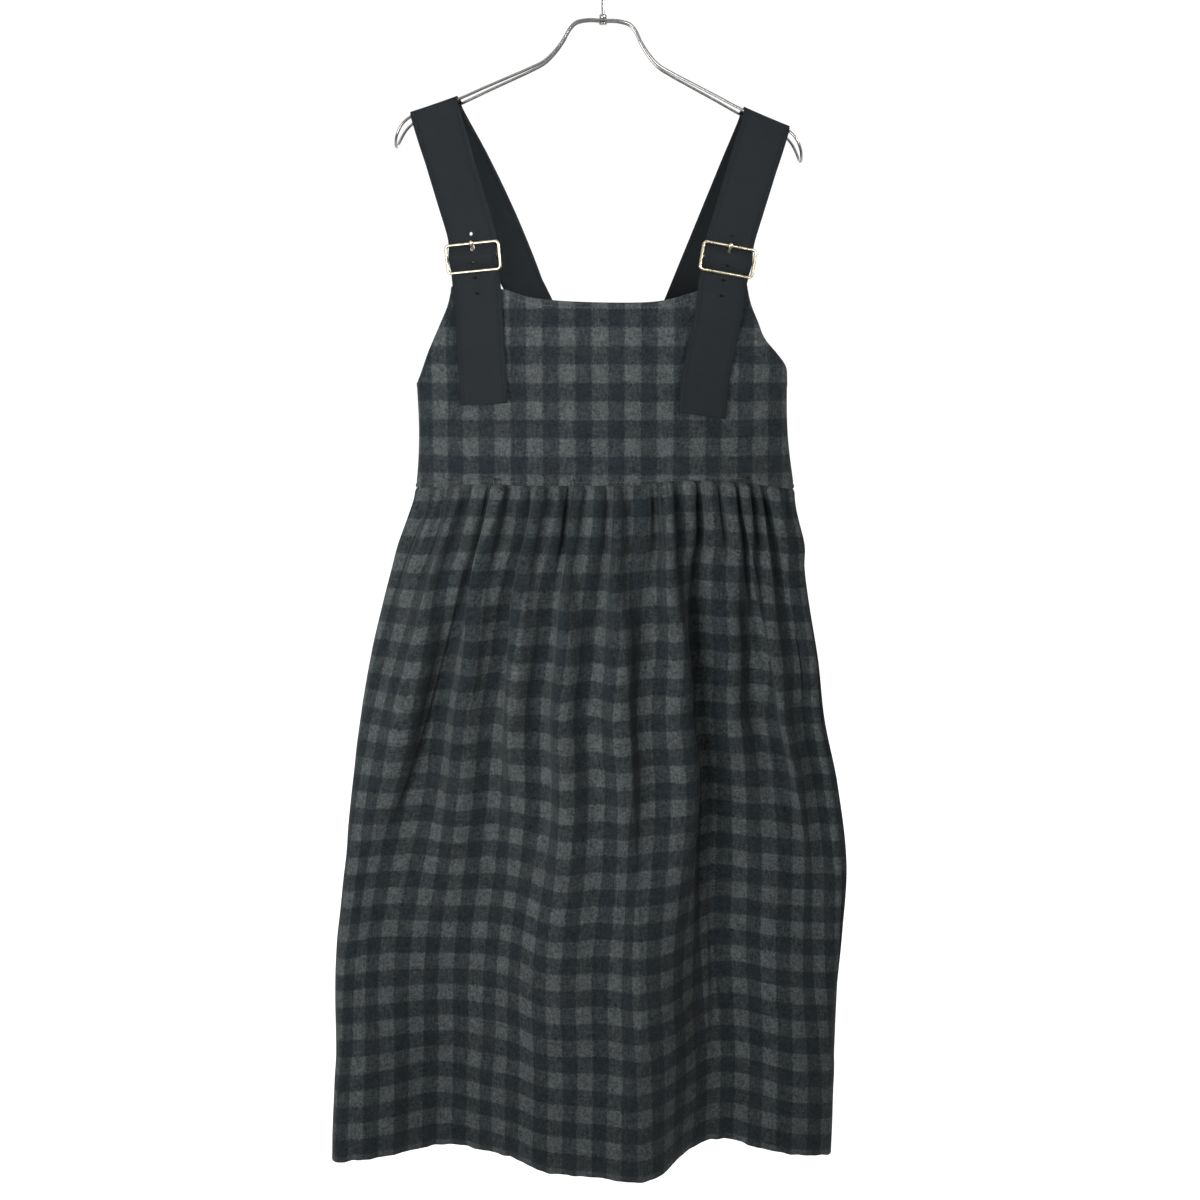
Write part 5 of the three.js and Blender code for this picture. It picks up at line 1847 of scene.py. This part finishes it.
@dataclass
class Buckle:
    """Wire rectangle with a bar across it and a prong that turns on the bar."""

    shape: StrapShape
    corner_steps: int = 8

    def frame_points(self) -> list[Vector]:
        """Points round the rectangle."""
        x, z = BUCKLE.width / 2 - BUCKLE.corner, BUCKLE.height / 2 - BUCKLE.corner
        found = []
        for cx, cz, start in ((x, z, 0), (-x, z, 90), (-x, -z, 180), (x, -z, 270)):
            for step in range(self.corner_steps + 1):
                angle = math.radians(start + 90 * step / self.corner_steps)
                out = Vector((math.cos(angle), 0, math.sin(angle))) * BUCKLE.corner
                found.append(self.shape.frame @ (Vector((cx, 0, cz)) + out))
        return found

    def build(self, finish: bpy.types.Material) -> bpy.types.Object:
        """Makes the frame with its bar."""
        name = f"buckle_{self.shape.hand.value}"
        bm = bmesh.new()
        bm.from_mesh(Wire(BUCKLE.wire).mesh(name, self.frame_points(), True))
        place = self.shape.frame @ Matrix.Translation((0, BUCKLE.bar_back, 0))
        place.translation = place.translation * MM
        turn = Matrix.Rotation(math.radians(90), 4, "Y")
        bmesh.ops.create_cone(
            bm, cap_ends=True, segments=16, radius1=BUCKLE.bar * MM, radius2=BUCKLE.bar * MM,
            depth=BUCKLE.width * MM, matrix=place @ turn,
        )
        piece = publish(name + "_frame", cleaned(bm, name + "_frame"), finish)
        return register(piece, "nickel", name)

    def prong(self, finish: bpy.types.Material) -> bpy.types.Object:
        """Makes the prong: a curl round the bar and a tongue over the frame's top."""
        name = f"prong_{self.shape.hand.value}"
        ring = BUCKLE.bar + FORM.gap + BUCKLE.prong_ring
        back = BUCKLE.bar_back
        over = -(BUCKLE.wire + FORM.gap + BUCKLE.prong_thick)
        top = BUCKLE.height / 2
        bm = bmesh.new()
        loop = [
            self.shape.frame @ Vector((0, back + ring * math.cos(a), ring * math.sin(a)))
            for a in np.linspace(0, 2 * math.pi, 24, endpoint=False)
        ]
        bm.from_mesh(Wire(BUCKLE.prong_ring, 12).mesh(name, loop, True))
        tongue = (
            (back, ring - 0.4, 0.55), (back - 0.1, 5.4, 0.7), (1.5, 8.2, 0.8), (-0.8, 10.6, 0.95),
            (over, top - 0.6, 1), (over, top + 1.4, 1), (over + 0.3, top + 2.5, 0.6),
        )
        made = bmesh.ops.create_circle(bm, cap_ends=False, radius=1, segments=12)["verts"]
        edges = list({e for v in made for e in v.link_edges})
        for number, (y, z, share) in enumerate(tongue):
            if number:
                grown = bmesh.ops.extrude_edge_only(bm, edges=edges)["geom"]
                made = [g for g in grown if isinstance(g, bmesh.types.BMVert)]
                edges = [g for g in grown if isinstance(g, bmesh.types.BMEdge)]
            for vert, k in zip(self.ordered(made, number, bm), range(12)):
                turn = 2 * math.pi * k / 12
                thick = BUCKLE.prong_thick * math.sin(turn) * min(1, share + 0.3)
                local = Vector((BUCKLE.prong_half * share * math.cos(turn), y + thick, z))
                vert.co = (self.shape.frame @ local) * MM
        bmesh.ops.holes_fill(bm, edges=[e for e in bm.edges if e.is_boundary], sides=0)
        piece = publish(name + "_tongue", cleaned(bm, name + "_tongue"), finish)
        return register(piece, "nickel", name)

    def ordered(self, verts: list, number: int, bm: bmesh.types.BMesh) -> list:
        """The new ring's vertices in the order of the ring before."""
        if number == 0:
            self.last = list(verts)
            return self.last
        links = {}
        for vert in verts:
            for edge in vert.link_edges:
                other = edge.other_vert(vert)
                if other in self.last:
                    links[self.last.index(other)] = vert
        self.last = [links[i] for i in range(len(self.last))]
        return self.last


@dataclass
class Hanger:
    """Hanger of two chrome wires that meet at the tips, with its collar and hook."""

    hook_radius: float = 1.5
    inside: float = 20
    stem_top: float = -54
    collar_outer: float = 3.6
    collar_height: float = 4.2
    collar_clear: float = 0.35
    head_radius: float = 4
    head_height: float = 2
    wire_steps: int = 640
    hook_steps: int = 220
    bend_angles: tuple[float, ...] = (-40, -18, 4, 26, 48, 70, 90, 110, 132, 154, 176, 198)

    def wires(self, finish: bpy.types.Material) -> bpy.types.Object:
        """Makes both wires as one closed loop."""
        xs = [float(x) for x in HANGER.shoulder.key]
        line = lambda side: [HANGER.point(x, side) for x in [-x for x in xs[:0:-1]] + xs]
        tip = lambda sign: Vector((sign * HANGER.tip[0], 0, HANGER.tip[1] - HANGER.neck))
        route = Route([*line(Side.FRONT), tip(1), *reversed(line(Side.BACK)), tip(-1)], True)
        points = [HANGER.tilted(route.at(i / self.wire_steps)) for i in range(self.wire_steps)]
        name = "hanger_wire"
        mesh = Wire(HANGER.radius).mesh(name + "_pair", points, True)
        return register(publish(name + "_pair", mesh, finish), "chrome", name)

    def hook(self, finish: bpy.types.Material) -> bpy.types.Object:
        """Makes the hook with the head of its stem."""
        bend = self.inside + self.hook_radius
        arc = [
            Vector((bend * math.cos(math.radians(d)), 0, bend * math.sin(math.radians(d)) - self.inside))
            for d in self.bend_angles
        ]
        end = HANGER.neck - HANGER.radius - FORM.gap - self.head_height / 2
        stem = [(0, end), (0, HANGER.neck + 8), (0, self.stem_top - 6), (3, self.stem_top + 6)]
        route = Route([*(Vector((x, 0, z)) for x, z in stem), *arc])
        points = [route.at(i / self.hook_steps) for i in range(self.hook_steps + 1)]
        name = "hanger_hook"
        bm = bmesh.new()
        bm.from_mesh(Wire(self.hook_radius).mesh(name, points, False))
        r, h = self.head_radius, self.head_height
        profile = [
            (0, -h / 2), (r * 0.6, -h / 2), (r * 0.9, -h * 0.36), (r, -h * 0.1), (r, h * 0.3),
            (r * 0.92, h / 2), (0, h / 2),
        ]
        lathe(bm, profile, Vector((0, 0, end)))
        piece = publish(name + "_bend", cleaned(bm, name + "_bend"), finish)
        return register(piece, "chrome", name)

    def collar(self, finish: bpy.types.Material) -> bpy.types.Object:
        """Makes the collar that the stem turns in."""
        r, h, bore = self.collar_outer, self.collar_height / 2, self.hook_radius + self.collar_clear
        profile = [
            (bore, -h), (r - 0.3, -h), (r, -h + 0.3), (r, h - 0.9), (r - 0.25, h - 0.35),
            (r - 0.8, h), (bore, h), (bore, -h),
        ]
        centre = Vector((0, 0, HANGER.neck + HANGER.radius + FORM.gap + h))
        bm = bmesh.new()
        lathe(bm, profile, centre)
        name = "hanger_collar"
        piece = publish(name + "_ring", cleaned(bm, name + "_ring"), finish)
        return register(piece, "chrome", name)


# The studio


@dataclass(frozen=True)
class Studio:
    """Pale room with soft lamps, and the camera at the photograph's place."""

    eye: tuple[float, float, float] = (-0.003, -1.5, -0.381)
    pitch: float = 79.8
    lens: float = 43.92
    floor_z: float = -1.62
    middle: tuple[float, float, float] = (-0.02, 0.0, -0.66)
    shoulders: tuple[float, float, float] = (-0.1, 0.0, -0.15)
    room_light: float = 0.5
    room_seen: float = 1.04
    # Strength of the floor's painted glow, where it lies behind the dress.
    floor_glow: float = 0.6

    def camera(self) -> None:
        """Places the camera."""
        data = bpy.data.cameras.new("view")
        data.lens, data.sensor_width, data.sensor_fit = self.lens, 36, "HORIZONTAL"
        data.clip_start, data.clip_end = 0.05, 60
        camera = bpy.data.objects.new("view", data)
        camera.location = self.eye
        camera.rotation_euler = Euler((math.radians(self.pitch), 0, 0))
        bpy.context.scene.collection.objects.link(camera)
        bpy.context.scene.camera = camera

    def lamp(
        self, name: str, place: tuple[float, float, float], aim: tuple[float, float, float],
        power: float, size: float, spread: float = 180,
    ) -> None:
        """Places a soft lamp that faces a point of the dress."""
        data = bpy.data.lights.new(name, "AREA")
        data.energy, data.size, data.spread = power, size, math.radians(spread)
        lamp = bpy.data.objects.new(name, data)
        lamp.location = place
        aim = Vector(aim) - Vector(place)
        lamp.rotation_euler = aim.to_track_quat("-Z", "Y").to_euler()
        bpy.context.scene.collection.objects.link(lamp)

    def build(self) -> None:
        """Makes floor, lamps and surroundings."""
        bm = bmesh.new()
        bmesh.ops.create_circle(bm, cap_ends=True, radius=14, segments=96)
        bmesh.ops.translate(bm, verts=bm.verts, vec=(0, 0, self.floor_z))
        mesh = bpy.data.meshes.new("floor")
        bm.to_mesh(mesh)
        bm.free()
        # Painted light on the floor: darker grey in front of and beneath the dress as a painted soft
        # shadow, and glowing further back as painted light so that it looks white.
        f = Finish("floor")
        _, deep, _ = f.split(f.object_place())
        painted_light_share = deep.ramp(-0.5, 0.45)
        f.set(Base_Color=f.mix(painted_light_share, (0.7, 0.7, 0.7, 1), (0.94, 0.94, 0.94, 1)), Roughness=0.9)
        f.set(Emission_Color=f.mix(painted_light_share, (0, 0, 0, 1), (1, 1, 1, 1)), Emission_Strength=self.floor_glow)
        floor = publish("floor", mesh, f.material)
        self.lamp("key", (-0.6, -1.0, -0.6), self.middle, power=8, size=0.7, spread=110)
        self.lamp("fill", (0.9, -1.1, 0.1), self.shoulders, power=1.5, size=0.6, spread=24)
        self.lamp("rim", (0.6, 2.4, 0.9), self.middle, power=20, size=1.8)
        self.surroundings()
        bpy.context.scene.view_settings.view_transform = "Standard"
        self.camera()
        log.info("studio ready")

    def surroundings(self) -> None:
        """Makes the pale room: white to the eye and in the metal, softer as light on the cloth."""
        world = bpy.data.worlds.new("surroundings")
        world.use_nodes = True
        nodes, links = world.node_tree.nodes, world.node_tree.links
        path, most, strength = (
            nodes.new(kind) for kind in ("ShaderNodeLightPath", "ShaderNodeMath", "ShaderNodeMapRange")
        )
        most.operation = "MAXIMUM"
        links.new(path.outputs["Is Camera Ray"], most.inputs[0])
        links.new(path.outputs["Is Glossy Ray"], most.inputs[1])
        links.new(most.outputs[0], strength.inputs["Value"])
        strength.inputs["To Min"].default_value = self.room_light
        strength.inputs["To Max"].default_value = self.room_seen
        links.new(strength.outputs[0], nodes["Background"].inputs["Strength"])
        nodes["Background"].inputs["Color"].default_value = (1, 1, 1, 1)
        bpy.context.scene.world = world


# Putting it together


def main() -> None:
    """Builds the dress and its hanger, the studio and the camera."""
    logging.basicConfig(level=logging.INFO, format="%(message)s")
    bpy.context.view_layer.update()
    Studio().build()
    skirt_cloth = Flannel(first_column=0.0163, first_row=0.0045).build("skirt_flannel")
    bib_cloth = Flannel(first_column=-0.003, first_row=0.381).build("bib_flannel")
    webbing = Canvas().build("webbing")
    loop_webbing = Canvas(width=0.043).build("loop_webbing")
    nickel = Metal(shade(184, 174, 150), 0.28, 0.12).build("nickel")
    chrome = Metal(shade(146, 144, 142), 0.2, 0.1).build("chrome")
    thread = Thread().build("thread")

    skirt, bodice = Skirt(), Bodice()
    skirts = {side: skirt.panel(side, skirt_cloth) for side in Side}
    bodices = {side: bodice.panel(side, bib_cloth) for side in Side}
    for side in Side:
        bodice.topstitch(side, thread)
    for shape in STRAPS:
        Strap(shape).build(webbing)
        loop = BuckleLoop(shape)
        loop.build(loop_webbing)
        loop.sew(thread)
        buckle = Buckle(shape)
        buckle.build(nickel)
        buckle.prong(nickel)
    hanger = Hanger()
    hanger.wires(chrome)
    hanger.collar(chrome)
    hanger.hook(chrome)
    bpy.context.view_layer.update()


if __name__ == "__main__":
    main()
